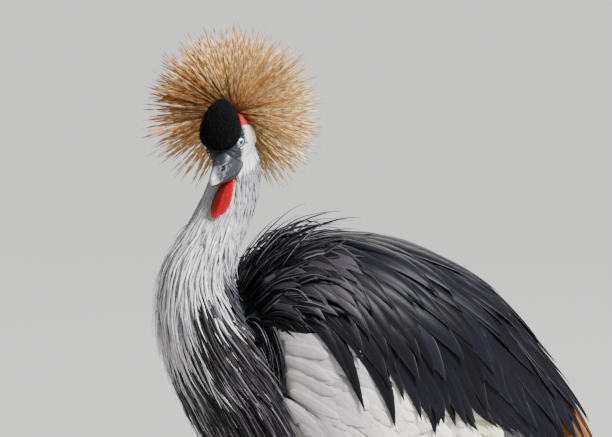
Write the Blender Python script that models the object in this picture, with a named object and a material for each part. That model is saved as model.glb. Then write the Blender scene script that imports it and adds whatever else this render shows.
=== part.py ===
"""Grey crowned crane, standing at rest with its head turned to its left. Life size, in metres, +Z up.

The bird faces -Y, its left side is +X, and its soles lie on z = 0. The neck and the torso are lengths of
two round bodies, each given by stations along a spine in the bird's median plane. Every feather lies on the
surface of one of these bodies, or of a guide that runs on past it, at a height above that surface.
"""

import math
import random

import bmesh
import bpy
import numpy as np

GAP = 0.0003

# The torso: y, z, half width, reach to the back, reach to the belly, at stations from breast to rump
TORSO = (
    (-0.212, 0.535, 0.000, 0.000, 0.000),
    (-0.204, 0.536, 0.034, 0.044, 0.040),
    (-0.185, 0.538, 0.060, 0.074, 0.070),
    (-0.150, 0.541, 0.081, 0.098, 0.096),
    (-0.090, 0.545, 0.096, 0.116, 0.120),
    (-0.020, 0.543, 0.101, 0.112, 0.128),
    (0.050, 0.526, 0.096, 0.094, 0.118),
    (0.120, 0.488, 0.080, 0.076, 0.092),
    (0.180, 0.448, 0.054, 0.050, 0.058),
    (0.230, 0.409, 0.028, 0.030, 0.028),
    (0.246, 0.395, 0.000, 0.000, 0.000),
)
TORSO_STEPS = 18
TORSO_SIDES = 24

# The folded wings lie on this, a little outside the torso, and hang on past the rump
WING_CLEAR = 0.0032
WING_GUIDE = tuple((y, z, *(reach + WING_CLEAR for reach in reaches)) for y, z, *reaches in TORSO[1:8])
WING_GUIDE += (
    (0.180, 0.448, 0.066, 0.056, 0.062),
    (0.230, 0.404, 0.058, 0.042, 0.050),
    (0.268, 0.355, 0.052, 0.034, 0.040),
    (0.292, 0.300, 0.046, 0.030, 0.034),
    (0.304, 0.240, 0.040, 0.026, 0.028),
)
# From this angle on the wing hangs straight down instead of following the belly
HANG = math.radians(96)

# The neck: y, z, half width, reach to the nape, reach to the throat, from the skull to inside the breast
NECK = (
    (-0.203, 0.812, 0.0000, 0.0000, 0.0000),
    (-0.203, 0.806, 0.0120, 0.0120, 0.0120),
    (-0.203, 0.796, 0.0200, 0.0200, 0.0200),
    (-0.203, 0.780, 0.0268, 0.0268, 0.0268),
    (-0.204, 0.758, 0.0300, 0.0300, 0.0300),
    (-0.210, 0.730, 0.0320, 0.0320, 0.0325),
    (-0.224, 0.698, 0.0335, 0.0330, 0.0345),
    (-0.241, 0.664, 0.0365, 0.0350, 0.0375),
    (-0.254, 0.628, 0.0420, 0.0405, 0.0430),
    (-0.252, 0.590, 0.0480, 0.0450, 0.0470),
    (-0.236, 0.547, 0.0560, 0.0490, 0.0510),
    (-0.205, 0.508, 0.0640, 0.0520, 0.0520),
    (-0.160, 0.487, 0.0500, 0.0400, 0.0360),
    (-0.120, 0.480, 0.0200, 0.0200, 0.0200),
)
NECK_SIDES = 18
NECK_PARTING = 0.128
NECK_STEPS = (8, 12)

# The breast plumes follow this, from the neck down in front of the breast
CURTAIN = NECK[:8] + (
    (-0.255, 0.628, 0.0430, 0.0410, 0.0445),
    (-0.253, 0.590, 0.0540, 0.0460, 0.0520),
    (-0.237, 0.540, 0.0740, 0.0510, 0.0570),
    (-0.210, 0.490, 0.0880, 0.0500, 0.0560),
    (-0.184, 0.440, 0.0860, 0.0450, 0.0500),
    (-0.156, 0.388, 0.0740, 0.0350, 0.0400),
    (-0.128, 0.340, 0.0600, 0.0280, 0.0320),
)

# The head, set by its centre, its turn to the left, its nod and its tilt to the right
HEAD_AT = (0.012, -0.221, 0.801)
HEAD_TURN = math.radians(47)
HEAD_NOD = math.radians(31)
HEAD_TILT = math.radians(10)
# Ahead, half width, rise to the crown, fall to the throat, level of the middle, from the nape to the face
HEAD = (
    (-0.036, 0.0000, 0.0000, 0.0000, 0.0),
    (-0.034, 0.0110, 0.0110, 0.0120, 0.0),
    (-0.028, 0.0200, 0.0195, 0.0215, 0.0),
    (-0.017, 0.0270, 0.0260, 0.0290, 0.0),
    (-0.004, 0.0295, 0.0285, 0.0315, 0.0),
    (0.010, 0.0275, 0.0260, 0.0315, 0.0),
    (0.021, 0.0225, 0.0140, 0.0305, 0.0),
    (0.028, 0.0180, 0.0040, 0.0280, 0.0),
    (0.033, 0.0100, 0.0010, 0.0200, -0.003),
    (0.035, 0.0000, 0.0000, 0.0000, -0.010),
)
HEAD_SIDES = 16
EYE_AT = (0.012, 0.0180, 0.0035)
EYE_RADIUS = 0.0086
EYE_FORWARD = math.radians(26)
LID_RADIUS = 0.0074
LID_THICK = 0.0015
LID_OUT = 0.0064
LID_STEPS, LID_SIDES = 12, 6

# The bill: ahead, half width, rise of the upper half, fall of the lower half, level of the mouth
BILL = (
    (0.0180, 0.0168, 0.0275, 0.0085, -0.0265),
    (0.0300, 0.0164, 0.0235, 0.0085, -0.0270),
    (0.0400, 0.0155, 0.0208, 0.0078, -0.0258),
    (0.0500, 0.0130, 0.0188, 0.0062, -0.0228),
    (0.0590, 0.0100, 0.0167, 0.0050, -0.0192),
    (0.0670, 0.0076, 0.0145, 0.0040, -0.0163),
    (0.0735, 0.0052, 0.0108, 0.0029, -0.0138),
    (0.0780, 0.0028, 0.0060, 0.0016, -0.0122),
    (0.0800, 0.0000, 0.0000, 0.0000, -0.0112),
)
BILL_SIDES = 7
LOWER_BILL_END = 0.0790
NOSTRIL_AT = (0.052, 0.0098, -0.0095)
NOSTRIL_SIZE = (0.0042, 0.0032, 0.0014)

# The velvet cap, the crest and the wattle, in the head's own directions
CAP_AT = (0.005, 0.0015, 0.0245)
CAP_PITCH = math.radians(147)
CAP_SIZE = (0.0335, 0.0262, 0.0205)
# How much slimmer the cap is at its far end than in its middle
CAP_TAPER = 0.30
CREST_AT = (-0.037, 0.0, 0.0110)
CREST_PAD = (0.0140, 0.0160, 0.0130)
CREST_PITCH = math.radians(12)
CREST_LENGTH = 0.110
CREST_JITTER = (0.90, 1.04)
CREST_SPINES = 90
# The bristles spread this far from the crest's middle line, and no further than the second angle ahead
CREST_SPREAD = math.radians(114)
CREST_SPREAD_AHEAD = math.radians(92)
CREST_NECK_CLEAR = 0.0045
# A bristle starts at this share of the crest's root, and is bowed by up to this much
CREST_ROOT_SHARE = 0.45
CREST_BOW = 0.003
SPINE_WIDTH = 0.0024
WATTLE_AT = (0.040, 0.0038, -0.032)
WATTLE_DOWN = (0.0, -0.40, -1.0)
WATTLE_LENGTH = 0.057
WATTLE_WIDTH = 0.0190
WATTLE_THICK = 0.0040
WATTLE_STEPS, WATTLE_SIDES = 8, 10
# A lobe's half width over the wattle's, how much narrower it starts, and how far it starts above the chin
WATTLE_LOBE, WATTLE_TOP, WATTLE_SUNK = 0.62, 0.45, 0.12
# How far apart the lobes hang over the wattle's width, how they face, and how their lengths differ
WATTLE_PART, WATTLE_FACE, WATTLE_UNLIKE = 0.33, 0.35, 0.06

# The legs, of the left side: hip, hock and ankle, with the places where one length meets the next
HIP = (0.052, -0.010, 0.470)
HOCK = (0.050, 0.052, 0.212)
ANKLE = (0.050, 0.014, 0.022)
THIGH = (
    (0.0, 0.036, 0.052),
    (0.25, 0.034, 0.048),
    (0.45, 0.026, 0.034),
    (0.60, 0.015, 0.018),
    (0.68, 0.010, 0.011),
)
SHIN = ((0.68, 0.0075), (0.80, 0.0060), (0.90, 0.0062), (0.96, 0.0085), (1.0, 0.0088))
TARSUS = ((0.0, 0.0088), (0.05, 0.0080), (0.14, 0.0056), (0.50, 0.0050), (0.85, 0.0056), (1.0, 0.0072))
LEG_SIDES = 8
# Turn from straight ahead, length, half width of each toe
TOES = ((0, 0.086, 0.0052), (34, 0.066, 0.0048), (-34, 0.066, 0.0048), (180, 0.026, 0.0040))
# Shares of a toe's length, with its swell at the joints and the level of its sole
TOE_SHAPE = (
    (0.0, 1.0, 0.0040),
    (0.14, 1.0, 0.0),
    (0.36, 0.82, 0.0),
    (0.52, 0.96, 0.0),
    (0.72, 0.74, 0.0),
    (0.96, 0.62, 0.0),
    (1.0, 0.40, 0.0012),
)
TOE_SECTION = ((-0.75, 0.0), (0.75, 0.0), (1.0, 0.60), (0.55, 1.50), (-0.55, 1.50), (-1.0, 0.60))
FOOT = ((0.0035, 0.0085, 0.0085), (0.010, 0.0088, 0.0090), (ANKLE[2] - GAP / 2, 0.0068, 0.0068))
# Along a claw: share of its length, size and rise of its underside
CLAW = ((0.0, 0.42, 0.0), (0.45, 0.34, 0.0), (0.85, 0.18, 0.0005))
CLAW_LENGTH = 0.013

# Feathers: how deep a root sinks, how thick a blade is, and how far each is turned over the next one
ROOT_DEPTH = 0.0028
VANE_THICK = 0.0015
WING_ROLL = 0.050
# Where the guide is narrower than this the feathers are slimmer and more turned
WING_FULL = 0.095
# The wing's feathers: places in metres along the guide and degrees round it, from the front backwards
WING_FEATHERS = (
    {"rows": 5, "columns": 3, "from": 0.042, "row_step": 0.060, "top": 82, "column_step": 17, "slope": 0.036,
     "length": (0.105, 0.115), "run": 0.92, "drop": (12, 24), "half_width": 0.0190, "steps": 3},
    {"rows": 1, "columns": 4, "from": 0.395, "row_step": 0.040, "top": 46, "column_step": 14, "slope": 0.012,
     "length": (0.195, 0.195), "run": 1.0, "drop": (3, 6), "half_width": 0.0150, "steps": 4},
    {"rows": 6, "columns": 4, "from": 0.046, "row_step": 0.062, "top": 14, "column_step": 17, "slope": 0.056,
     "length": (0.120, 0.170), "run": 0.95, "drop": (3, 42), "half_width": 0.0200, "steps": 3},
)
WING_STAGGER = 0.25
# How much the wing's feathers differ: degrees at the root and at the tip, shares of length and of width
ROOT_JITTER, TIP_JITTER = 1.2, 1.5
LENGTH_JITTER, WIDTH_JITTER = (0.96, 1.05), (0.96, 1.03)
# The width of the slimmest feather, as a share
SLIMMEST = 0.4
# The mantle: number of plumes, reach and rise in each row
MANTLE_ROOT = 0.021
MANTLE_SPREAD = math.radians(72)
MANTLE_HALF_WIDTH = 0.0095
MANTLE_ROWS = ((9, 0.105, 0.036), (8, 0.145, 0.030))
MANTLE_LEAN = 0.12
MANTLE_STEPS = 5
# How much the mantle's plumes differ: in angle, and in shares of reach and of rise
MANTLE_TURN_JITTER, MANTLE_REACH_JITTER, MANTLE_RISE_JITTER = 0.04, (0.88, 1.12), (0.93, 1.10)
# The breast plumes: distance along the neck, first and last angle, number and length in each row
BREAST_ROWS = (
    (0.178, 45, 315, 9, 0.115),
    (0.218, 60, 300, 9, 0.135),
    (0.258, 68, 292, 8, 0.150),
    (0.298, 85, 275, 7, 0.165),
)
BREAST_RISE = 0.011
# A breast plume leaves the neck for the curtain in this share of its length, and turns outwards by this share
BREAST_LEAVES = 0.4
BREAST_OUTWARDS = 0.10
BREAST_HALF_WIDTH = 0.0135
BREAST_STEPS = 4
# How much the breast plumes differ: degrees round the neck, shares of rise and of length, and roll
BREAST_TURN_JITTER, BREAST_ROLL_JITTER = 3, 0.04
BREAST_RISE_JITTER, BREAST_LENGTH_JITTER = (0.90, 1.10), (0.88, 1.08)
TAIL_CORE = ((-0.010, 0.016, 0.010), (0.030, 0.020, 0.008), (0.060, 0.016, 0.004))
TAIL_INSET = 0.030
TAIL_QUILLS = 7
TAIL_QUILL_FROM = 0.020
TAIL_LENGTH = 0.125
TAIL_DROOP = 0.045
TAIL_HALF_SPREAD = 0.024
TAIL_ROOT_SPREAD = 0.35
TAIL_LAYER = 0.0016
TAIL_OUTER_SHORTER = 0.12
TAIL_QUILL_HALF = 0.011
TAIL_STEPS = 4


def clear_scene():
    for found in list(bpy.data.objects):
        bpy.data.objects.remove(found, do_unlink=True)


def material(name, colour, roughness, metallic=0.0):
    """A Principled material of one plain finish."""
    made = bpy.data.materials.new(name)
    made.use_nodes = True
    shader = made.node_tree.nodes["Principled BSDF"]
    shader.inputs["Base Color"].default_value = (*colour, 1.0)
    shader.inputs["Roughness"].default_value = roughness
    shader.inputs["Metallic"].default_value = metallic
    made.diffuse_color = (*colour, 1.0)
    return made


def blend(ends, share):
    return ends[0] + (ends[1] - ends[0]) * share


def turned(first, second, angle):
    """The direction at this angle from the first towards the second."""
    return first * math.cos(angle) + second * math.sin(angle)


class Smooth:
    """A smooth curve through rows of values at the given places."""

    def __init__(self, places, rows):
        self.places = np.asarray(places, float)
        self.rows = np.asarray(rows, float)
        self.slopes = np.gradient(self.rows, self.places, axis=0)

    def __call__(self, place):
        place = min(max(place, self.places[0]), self.places[-1])
        i = min(int(np.searchsorted(self.places, place, side="right")) - 1, len(self.places) - 2)
        span = self.places[i + 1] - self.places[i]
        t = (place - self.places[i]) / span
        start = (1 + 2 * t) * (1 - t) ** 2 * self.rows[i] + t * (1 - t) ** 2 * span * self.slopes[i]
        end = t * t * (3 - 2 * t) * self.rows[i + 1] - t * t * (1 - t) * span * self.slopes[i + 1]
        return start + end


class Body:
    """A round body along a spine in the median plane, placed by distance along the spine and by the angle
    round it: 0 is its back, 90 degrees its left side, 180 its front."""

    def __init__(self, stations):
        rows = np.array(stations, float)
        steps = np.hypot(*np.diff(rows[:, :2], axis=0).T)
        self.at = np.concatenate([[0.0], np.cumsum(steps)])
        self.length = float(self.at[-1])
        self.curve = Smooth(self.at, rows)

    def axis(self, along):
        """The spine's point, its direction and the direction of the back there."""
        step = 0.002
        here = self.curve(along)
        ahead = self.curve(along + step)[:2] - self.curve(along - step)[:2]
        ahead = ahead / np.linalg.norm(ahead)
        return np.array([0.0, *here[:2]]), np.array([0.0, *ahead]), np.array([0.0, -ahead[1], ahead[0]])

    def point(self, along, angle, height=0.0):
        """The point at this height over the surface."""
        centre, _, back = self.axis(along)
        width, to_back, to_front = self.curve(along)[2:5]
        depth = to_back if math.cos(angle) > 0 else to_front
        side = np.array([1.0, 0.0, 0.0])
        return centre + turned(back * (depth + height), side * (width + height), angle)

    def outward(self, along, angle):
        """The unit normal of the surface."""
        step_along, step_angle = 0.003, 0.03
        run = self.point(along + step_along, angle) - self.point(along - step_along, angle)
        turn = self.point(along, angle + step_angle) - self.point(along, angle - step_angle)
        normal = np.cross(turn, run)
        return normal / np.linalg.norm(normal)


def mesh_object(name, points, faces, finish):
    """A mesh object with its normals turned outwards."""
    mesh = bpy.data.meshes.new(name)
    mesh.from_pydata([tuple(p) for p in points], [], faces)
    work = bmesh.new()
    work.from_mesh(mesh)
    bmesh.ops.remove_doubles(work, verts=work.verts, dist=1e-6)
    bmesh.ops.triangulate(work, faces=work.faces, quad_method="FIXED")
    bmesh.ops.recalc_face_normals(work, faces=work.faces)
    work.to_mesh(mesh)
    work.free()
    mesh.materials.append(finish)
    made = bpy.data.objects.new(name, mesh)
    bpy.context.collection.objects.link(made)
    return made


def loft(name, rings, finish):
    """A closed solid over rings of points. A ring of one point is a pole, and any other end is capped."""
    points, starts = [], []
    for ring in rings:
        starts.append(len(points))
        points.extend(ring)
    faces = []
    for i in range(len(rings) - 1):
        a, b = rings[i], rings[i + 1]
        sides = max(len(a), len(b))
        for j in range(sides):
            k = (j + 1) % sides
            corners = []
            for ring, start in ((a, starts[i]), (b, starts[i + 1])):
                corners.append([start, start] if len(ring) == 1 else [start + j, start + k])
            face = [corners[0][0], corners[1][0], corners[1][1], corners[0][1]]
            faces.append(tuple(dict.fromkeys(face)))
    for ring, start in ((rings[0], starts[0]), (rings[-1], starts[-1])):
        if len(ring) > 1:
            faces.append(tuple(range(start, start + len(ring))))
    return mesh_object(name, points, faces, finish)


def body_rings(body, start, end, steps, sides, height=0.0):
    """Rings of a body between two distances along it, closer at its ends, with a pole where it closes."""
    rings = []
    for i in range(steps + 1):
        share = 0.4 * i / steps + 0.6 * (0.5 - 0.5 * math.cos(math.pi * i / steps))
        along = start + (end - start) * share
        if body.curve(along)[2] < 1e-4:
            rings.append([body.axis(along)[0]])
            continue
        rings.append([body.point(along, 2 * math.pi * j / sides, height) for j in range(sides)])
    return rings


def apply_boolean(target, operation, others, solver="EXACT"):
    """Joins or cuts target with the other objects, which are then removed."""
    group = bpy.data.collections.new("with_" + target.name)
    bpy.context.scene.collection.children.link(group)
    for other in others:
        for owner in list(other.users_collection):
            owner.objects.unlink(other)
        group.objects.link(other)
    modifier = target.modifiers.new("join", "BOOLEAN")
    modifier.operation = operation
    modifier.operand_type = "COLLECTION"
    modifier.collection = group
    modifier.solver = solver
    bpy.context.view_layer.update()
    graph = bpy.context.evaluated_depsgraph_get()
    made = bpy.data.meshes.new_from_object(target.evaluated_get(graph))
    target.modifiers.remove(modifier)
    target.data = made
    for other in others:
        bpy.data.objects.remove(other, do_unlink=True)
    bpy.data.collections.remove(group)
    keep_largest(target)


def keep_largest(target):
    """Keeps only the largest closed surface of a node."""
    work = bmesh.new()
    work.from_mesh(target.data)
    unseen = set(work.verts)
    groups = []
    while unseen:
        group, edge = set(), [unseen.pop()]
        while edge:
            vertex = edge.pop()
            group.add(vertex)
            for link in vertex.link_edges:
                other = link.other_vert(vertex)
                if other in unseen:
                    unseen.discard(other)
                    edge.append(other)
        groups.append(group)
    groups.sort(key=len)
    for group in groups[:-1]:
        bmesh.ops.delete(work, geom=list(group), context="VERTS")
    bmesh.ops.triangulate(work, faces=work.faces)
    work.to_mesh(target.data)
    work.free()


class Frame:
    """A place with its own directions: ahead, left and up."""

    def __init__(self, origin, ahead, left, up):
        self.origin = np.array(origin, float)
        self.ahead = np.array(ahead, float)
        self.left = np.array(left, float)
        self.up = np.array(up, float)

    def at(self, ahead, left, up):
        return self.origin + self.ahead * ahead + self.left * left + self.up * up

    def pitched(self, place, pitch):
        """The same directions at another place, with the nose raised by pitch."""
        ahead = turned(self.ahead, self.up, pitch)
        return Frame(self.at(*place), ahead, self.left, turned(self.up, -self.ahead, pitch))


def head_frame():
    """The head's own directions, turned, then nodded, then tilted."""
    level = np.array([math.sin(HEAD_TURN), -math.cos(HEAD_TURN), 0.0])
    left = np.array([math.cos(HEAD_TURN), math.sin(HEAD_TURN), 0.0])
    upright = np.array([0.0, 0.0, 1.0])
    ahead = turned(level, -upright, HEAD_NOD)
    up = turned(upright, level, HEAD_NOD)
    return Frame(HEAD_AT, ahead, turned(left, up, HEAD_TILT), turned(up, -left, HEAD_TILT))


def egg_rings(frame, stations, sides, grow=0.0):
    """Rings round the frame's line ahead. A station of no width is a pole."""
    rings = []
    middle = (stations[0][0] + stations[-1][0]) / 2
    for ahead, width, rise, fall, level in stations:
        if width == 0.0:
            rings.append([frame.at(ahead + math.copysign(grow, ahead - middle), 0.0, level)])
            continue
        ring = []
        for j in range(sides):
            angle = 2 * math.pi * j / sides
            height = (rise if math.cos(angle) > 0 else fall) + grow
            ring.append(frame.at(ahead, math.sin(angle) * (width + grow), level + math.cos(angle) * height))
        rings.append(ring)
    return rings


def half_rings(frame, stations, sides, way, grow=0.0):
    """Rings of the upper half of the bill, way 1, or of its lower half, way -1, flat along the mouth."""
    rings = []
    for ahead, width, rise, fall, level in stations:
        height = rise if way > 0 else fall
        level = level + way * (GAP / 2 - grow)
        if width == 0.0:
            rings.append([frame.at(ahead + grow, 0.0, level)])
            continue
        ring = []
        for j in range(sides + 1):
            angle = math.pi * (j / sides - 0.5)
            up = level + way * math.cos(angle) * (height + 2 * grow)
            ring.append(frame.at(ahead, math.sin(angle) * (width + grow), up))
        rings.append(ring)
    return rings


def ellipsoid_rings(frame, size, steps, sides, taper=0.0):
    """Rings of an ellipsoid at the frame's place, or of an egg that is slimmer ahead by taper."""
    stations = []
    for i in range(steps + 1):
        angle = math.pi * i / steps
        reach = math.sin(angle) if 0 < i < steps else 0.0
        width = size[1] * reach * (1 + taper * math.cos(angle))
        height = size[2] * reach
        stations.append((-size[0] * math.cos(angle), width, height, height, 0.0))
    return egg_rings(frame, stations, sides)


def hoop(name, rings, finish):
    """A closed hoop over its rings."""
    points = [point for ring in rings for point in ring]
    count, sides = len(rings), len(rings[0])
    faces = []
    for i in range(count):
        for j in range(sides):
            a, b = i * sides, ((i + 1) % count) * sides
            k = (j + 1) % sides
            faces.append((a + j, a + k, b + k, b + j))
    return mesh_object(name, points, faces, finish)


def vane(path, normals, half_widths, thick, roll, finish):
    """A feather as a flat blade with a ridge above and below, from a blunt root to a point.

    path has one point more than half_widths, its tip. roll lifts the left edge."""
    points, faces = [], []
    count = len(half_widths)
    for i in range(count):
        ahead = path[i + 1] - path[max(i - 1, 0)]
        side = np.cross(normals[i], ahead)
        side /= np.linalg.norm(side)
        normal = np.cross(ahead, side)
        normal /= np.linalg.norm(normal)
        half, lift = half_widths[i], half_widths[i] * roll
        body = thick * (1 - 0.45 * i / count) / 2
        points += [
            path[i] + side * half + normal * lift,
            path[i] + normal * body,
            path[i] - side * half - normal * lift,
            path[i] - normal * body,
        ]
    points.append(path[count])
    for i in range(count - 1):
        a, b = 4 * i, 4 * (i + 1)
        for edge in (0, 2):
            for ridge in (1, 3):
                faces += [(a + edge, a + ridge, b + ridge), (a + edge, b + ridge, b + edge)]
    faces += [(0, 1, 2), (0, 2, 3)]
    last, tip = 4 * (count - 1), 4 * count
    faces += [(last + j, last + (j + 1) % 4, tip) for j in range(4)]
    return mesh_object("vane", points, faces, finish)


def spine(root, tip, bow, width, finish):
    """A bristle of three sides from root to tip, bowed sideways."""
    ahead = tip - root
    side = np.cross(ahead, bow)
    side /= np.linalg.norm(side)
    up = np.cross(side, ahead)
    up /= np.linalg.norm(up)
    points = []
    for share, swell in ((0.0, 1.0), (0.6, 0.75)):
        centre = root + ahead * share + bow * 4 * share * (1 - share)
        points += [centre + turned(side, up, 2 * math.pi * j / 3) * width * swell / 2 for j in range(3)]
    points.append(tip)
    faces = [(0, 1, 2)]
    for j in range(3):
        k = (j + 1) % 3
        faces += [(j, k, 3 + k), (j, 3 + k, 3 + j), (3 + j, 3 + k, 6)]
    return mesh_object("spine", points, faces, finish)


def hung_point(along, angle, height):
    """The point of the wings' guide, hanging straight down past its widest part."""
    way = math.copysign(1.0, angle)
    past = abs(angle) - HANG
    if past <= 0:
        return WING.point(along, angle, height)
    start = WING.point(along, way * HANG, height)
    down = start - WING.point(along, way * (HANG - 0.05), height)
    depth = WING.curve(along)[4]
    return start + down / np.linalg.norm(down) * past * depth


def hung_normal(along, angle):
    return WING.outward(along, math.copysign(min(abs(angle), HANG), angle))


TORSO_BODY = Body(TORSO)
NECK_BODY = Body(NECK)
CURTAIN_BODY = Body(CURTAIN)
WING = Body(WING_GUIDE)

# The folded wing: ends along the guide, and the angle of its lower edge at shares of its length
WING_FROM, WING_TO = 0.031, 0.540
WING_TOP = math.radians(0.6)
WING_EDGE = Smooth((0.0, 0.12, 0.35, 0.7, 1.0), [[math.radians(a)] for a in (120, 150, 144, 116, 92)])
WING_BORDER, WING_BULGE = 0.0032, 0.0085
WING_ROWS, WING_COLUMNS = 14, 10


def wing_height(along_share, angle_share):
    """How thick the folded wing is over the body."""
    bulge = (4 * along_share * (1 - along_share) * 4 * angle_share * (1 - angle_share)) ** 0.5
    top = 4 * along_share * (1 - along_share) * (1 - angle_share) ** 2
    return WING_BORDER + WING_BULGE * max(bulge, 0.8 * top ** 0.5)


def wing_place(side, along_share, angle_share):
    """Distance along the guide and angle round it at shares of the wing's length and width."""
    low = float(WING_EDGE(along_share)[0])
    angle = WING_TOP + (low - WING_TOP) * angle_share
    return WING_FROM + (WING_TO - WING_FROM) * along_share, side * angle


def wing_shell(name, side, finish):
    """The flat of the folded wing."""
    points, faces = [], []
    for outer in (0, 1):
        for i in range(WING_ROWS):
            for j in range(WING_COLUMNS):
                u, v = (i / (WING_ROWS - 1)) ** 1.2, j / (WING_COLUMNS - 1)
                along, angle = wing_place(side, u, v)
                points.append(hung_point(along, angle, wing_height(u, v) if outer else 0.0))
    layer = WING_ROWS * WING_COLUMNS
    for i in range(WING_ROWS - 1):
        for j in range(WING_COLUMNS - 1):
            a, d = i * WING_COLUMNS + j, i * WING_COLUMNS + j + 1
            b, c = a + WING_COLUMNS, d + WING_COLUMNS
            for base in (0, layer):
                faces += [(base + a, base + b, base + c), (base + a, base + c, base + d)]
    rim = [(0, j) for j in range(WING_COLUMNS)] + [(i, WING_COLUMNS - 1) for i in range(1, WING_ROWS)]
    rim += [(WING_ROWS - 1, j) for j in range(WING_COLUMNS - 2, -1, -1)]
    rim += [(i, 0) for i in range(WING_ROWS - 2, 0, -1)]
    flat = [i * WING_COLUMNS + j for i, j in rim]
    for here, ahead in zip(flat, flat[1:] + flat[:1]):
        faces.append((here, ahead, layer + ahead, layer + here))
    return mesh_object(name, points, faces, finish)


def wing_share(along, angle):
    """Where a place of the guide lies on the wing, as shares of its length and of its width."""
    u = min(max((along - WING_FROM) / (WING_TO - WING_FROM), 0.0), 1.0)
    low = float(WING_EDGE(u)[0])
    return u, min(max((abs(angle) - WING_TOP) / (low - WING_TOP), 0.0), 1.0)


def feather_shape(count, half_width):
    """Half widths from the quill, which is narrow, to the last place before the tip."""
    shape = []
    for i in range(count):
        share = i / count
        swell = 0.5 + 0.5 * math.sin(math.pi * min(0.5, 0.1 + 0.9 * share))
        shape.append(half_width * swell * (1 - 0.45 * max(0.0, share - 0.45)))
    return shape


def plume_shape(count, half_width):
    """Half widths of a long, narrow, pointed plume."""
    return [half_width * (0.65 + 0.7 * (i / count) - 1.15 * (i / count) ** 2) for i in range(count)]


def wing_line(side, root, tip, rise, steps):
    """Places and normals of a wing feather from root to tip, each given by distance along and angle."""
    path, normals = [], []
    for i in range(steps + 1):
        share = i / steps
        along = root[0] + (tip[0] - root[0]) * share
        angle = root[1] + (tip[1] - root[1]) * share**1.2
        core = wing_height(*wing_share(along, angle))
        height = core - ROOT_DEPTH + (rise + ROOT_DEPTH) * share**0.5
        path.append(hung_point(along, side * angle, height))
        normals.append(hung_normal(along, side * angle))
    return path, normals


def wing_feathers(side, seed, finish):
    """The feathers of one folded wing."""
    draw = random.Random(seed)
    feathers = []
    for group in WING_FEATHERS:
        for row in range(group["rows"]):
            for column in range(group["columns"]):
                share = column / max(1, group["columns"] - 1)
                root_along = group["from"] + group["row_step"] * (row + WING_STAGGER * column)
                root_angle = group["top"] + group["column_step"] * column + ROOT_JITTER * draw.uniform(-1, 1)
                length = blend(group["length"], share) * draw.uniform(*LENGTH_JITTER)
                tip_angle = root_angle + blend(group["drop"], share) + TIP_JITTER * draw.uniform(-1, 1)
                root = (root_along, math.radians(root_angle))
                tip = (root_along + length * group["run"], math.radians(tip_angle))
                slim = min(1.0, float(WING.curve((root[0] + tip[0]) / 2)[2]) / WING_FULL)
                half = group["half_width"] * blend((SLIMMEST, 1.0), slim) * draw.uniform(*WIDTH_JITTER)
                path, normals = wing_line(side, root, tip, length * group["slope"], group["steps"])
                path = [np.array([side * max(side * p[0], GAP + half), p[1], p[2]]) for p in path]
                shape = feather_shape(group["steps"], half)
                feathers.append(vane(path, normals, shape, VANE_THICK, -WING_ROLL * side / slim, finish))
    return feathers


def wing(name, side, seed, finish):
    made = wing_shell(name, side, finish)
    apply_boolean(made, "UNION", wing_feathers(side, seed, finish))
    return made


def mantle_line(angle, reach, rise, lean, steps):
    """A plume from the foot of the neck, up over the shoulders and back."""
    path, normals = [], []
    for i in range(steps + 1):
        share = i / steps
        along = MANTLE_ROOT + reach * share**1.15
        height = -ROOT_DEPTH + (rise + ROOT_DEPTH) * math.sin(math.pi * min(0.5, 0.62 * share**0.6))
        path.append(TORSO_BODY.point(along, angle + lean * share, height))
        normals.append(TORSO_BODY.outward(along, angle + lean * share))
    return path, normals


def mantle(seed, finish):
    draw = random.Random(seed)
    plumes = []
    for row, (count, reach, rise) in enumerate(MANTLE_ROWS):
        for i in range(count):
            angle = MANTLE_SPREAD * ((i + 0.5) / count * 2 - 1) + MANTLE_TURN_JITTER * draw.uniform(-1, 1)
            reach_here = reach * draw.uniform(*MANTLE_REACH_JITTER)
            rise_here = rise * draw.uniform(*MANTLE_RISE_JITTER)
            path, normals = mantle_line(angle, reach_here, rise_here, MANTLE_LEAN * angle, MANTLE_STEPS)
            shape = plume_shape(MANTLE_STEPS, MANTLE_HALF_WIDTH)
            plumes.append(vane(path, normals, shape, VANE_THICK, 0.0, finish))
    return plumes


def torso(finish):
    made = loft("torso", body_rings(TORSO_BODY, 0.0, TORSO_BODY.length, TORSO_STEPS, TORSO_SIDES), finish)
    apply_boolean(made, "UNION", mantle(7, finish))
    return made


def torso_cutter(finish):
    """The torso without its plumes, larger by the gap."""
    rings = body_rings(TORSO_BODY, 0.0, TORSO_BODY.length, TORSO_STEPS, TORSO_SIDES, GAP)
    return loft("torso_cutter", rings, finish)


def neck_cutter(finish):
    """The upper neck, larger by the gap."""
    rings = body_rings(NECK_BODY, 0.0, NECK_PARTING - GAP / 2, NECK_STEPS[0], NECK_SIDES, GAP)
    return loft("neck_cutter", rings, finish)


def head_cutter(finish, lids=False):
    """The head larger by the gap, with or without its lids."""
    made = [loft("head_cutter", egg_rings(head_frame(), HEAD, HEAD_SIDES, GAP), finish)]
    if lids:
        for side in (1, -1):
            made.append(hoop("lid_cutter", lid_rings(side, GAP), finish))
    return made


def eye_frame(side):
    """The eye's centre, with ahead as the way it looks."""
    frame = head_frame()
    outward = frame.left * side
    centre = frame.at(EYE_AT[0], side * EYE_AT[1], EYE_AT[2])
    look = turned(outward, frame.ahead, EYE_FORWARD)
    return Frame(centre, look, turned(frame.ahead, -outward, EYE_FORWARD), frame.up)


def lid_rings(side, grow=0.0):
    """Rings of the hoop of lids round an eye, to be closed on itself."""
    frame = eye_frame(side)
    rings = []
    for i in range(LID_STEPS):
        spoke = turned(frame.left, frame.up, 2 * math.pi * i / LID_STEPS)
        middle = frame.at(LID_OUT, 0.0, 0.0) + spoke * LID_RADIUS
        turns = [2 * math.pi * j / LID_SIDES for j in range(LID_SIDES)]
        rings.append([middle + turned(spoke, frame.ahead, turn) * (LID_THICK + grow) for turn in turns])
    return rings


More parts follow.
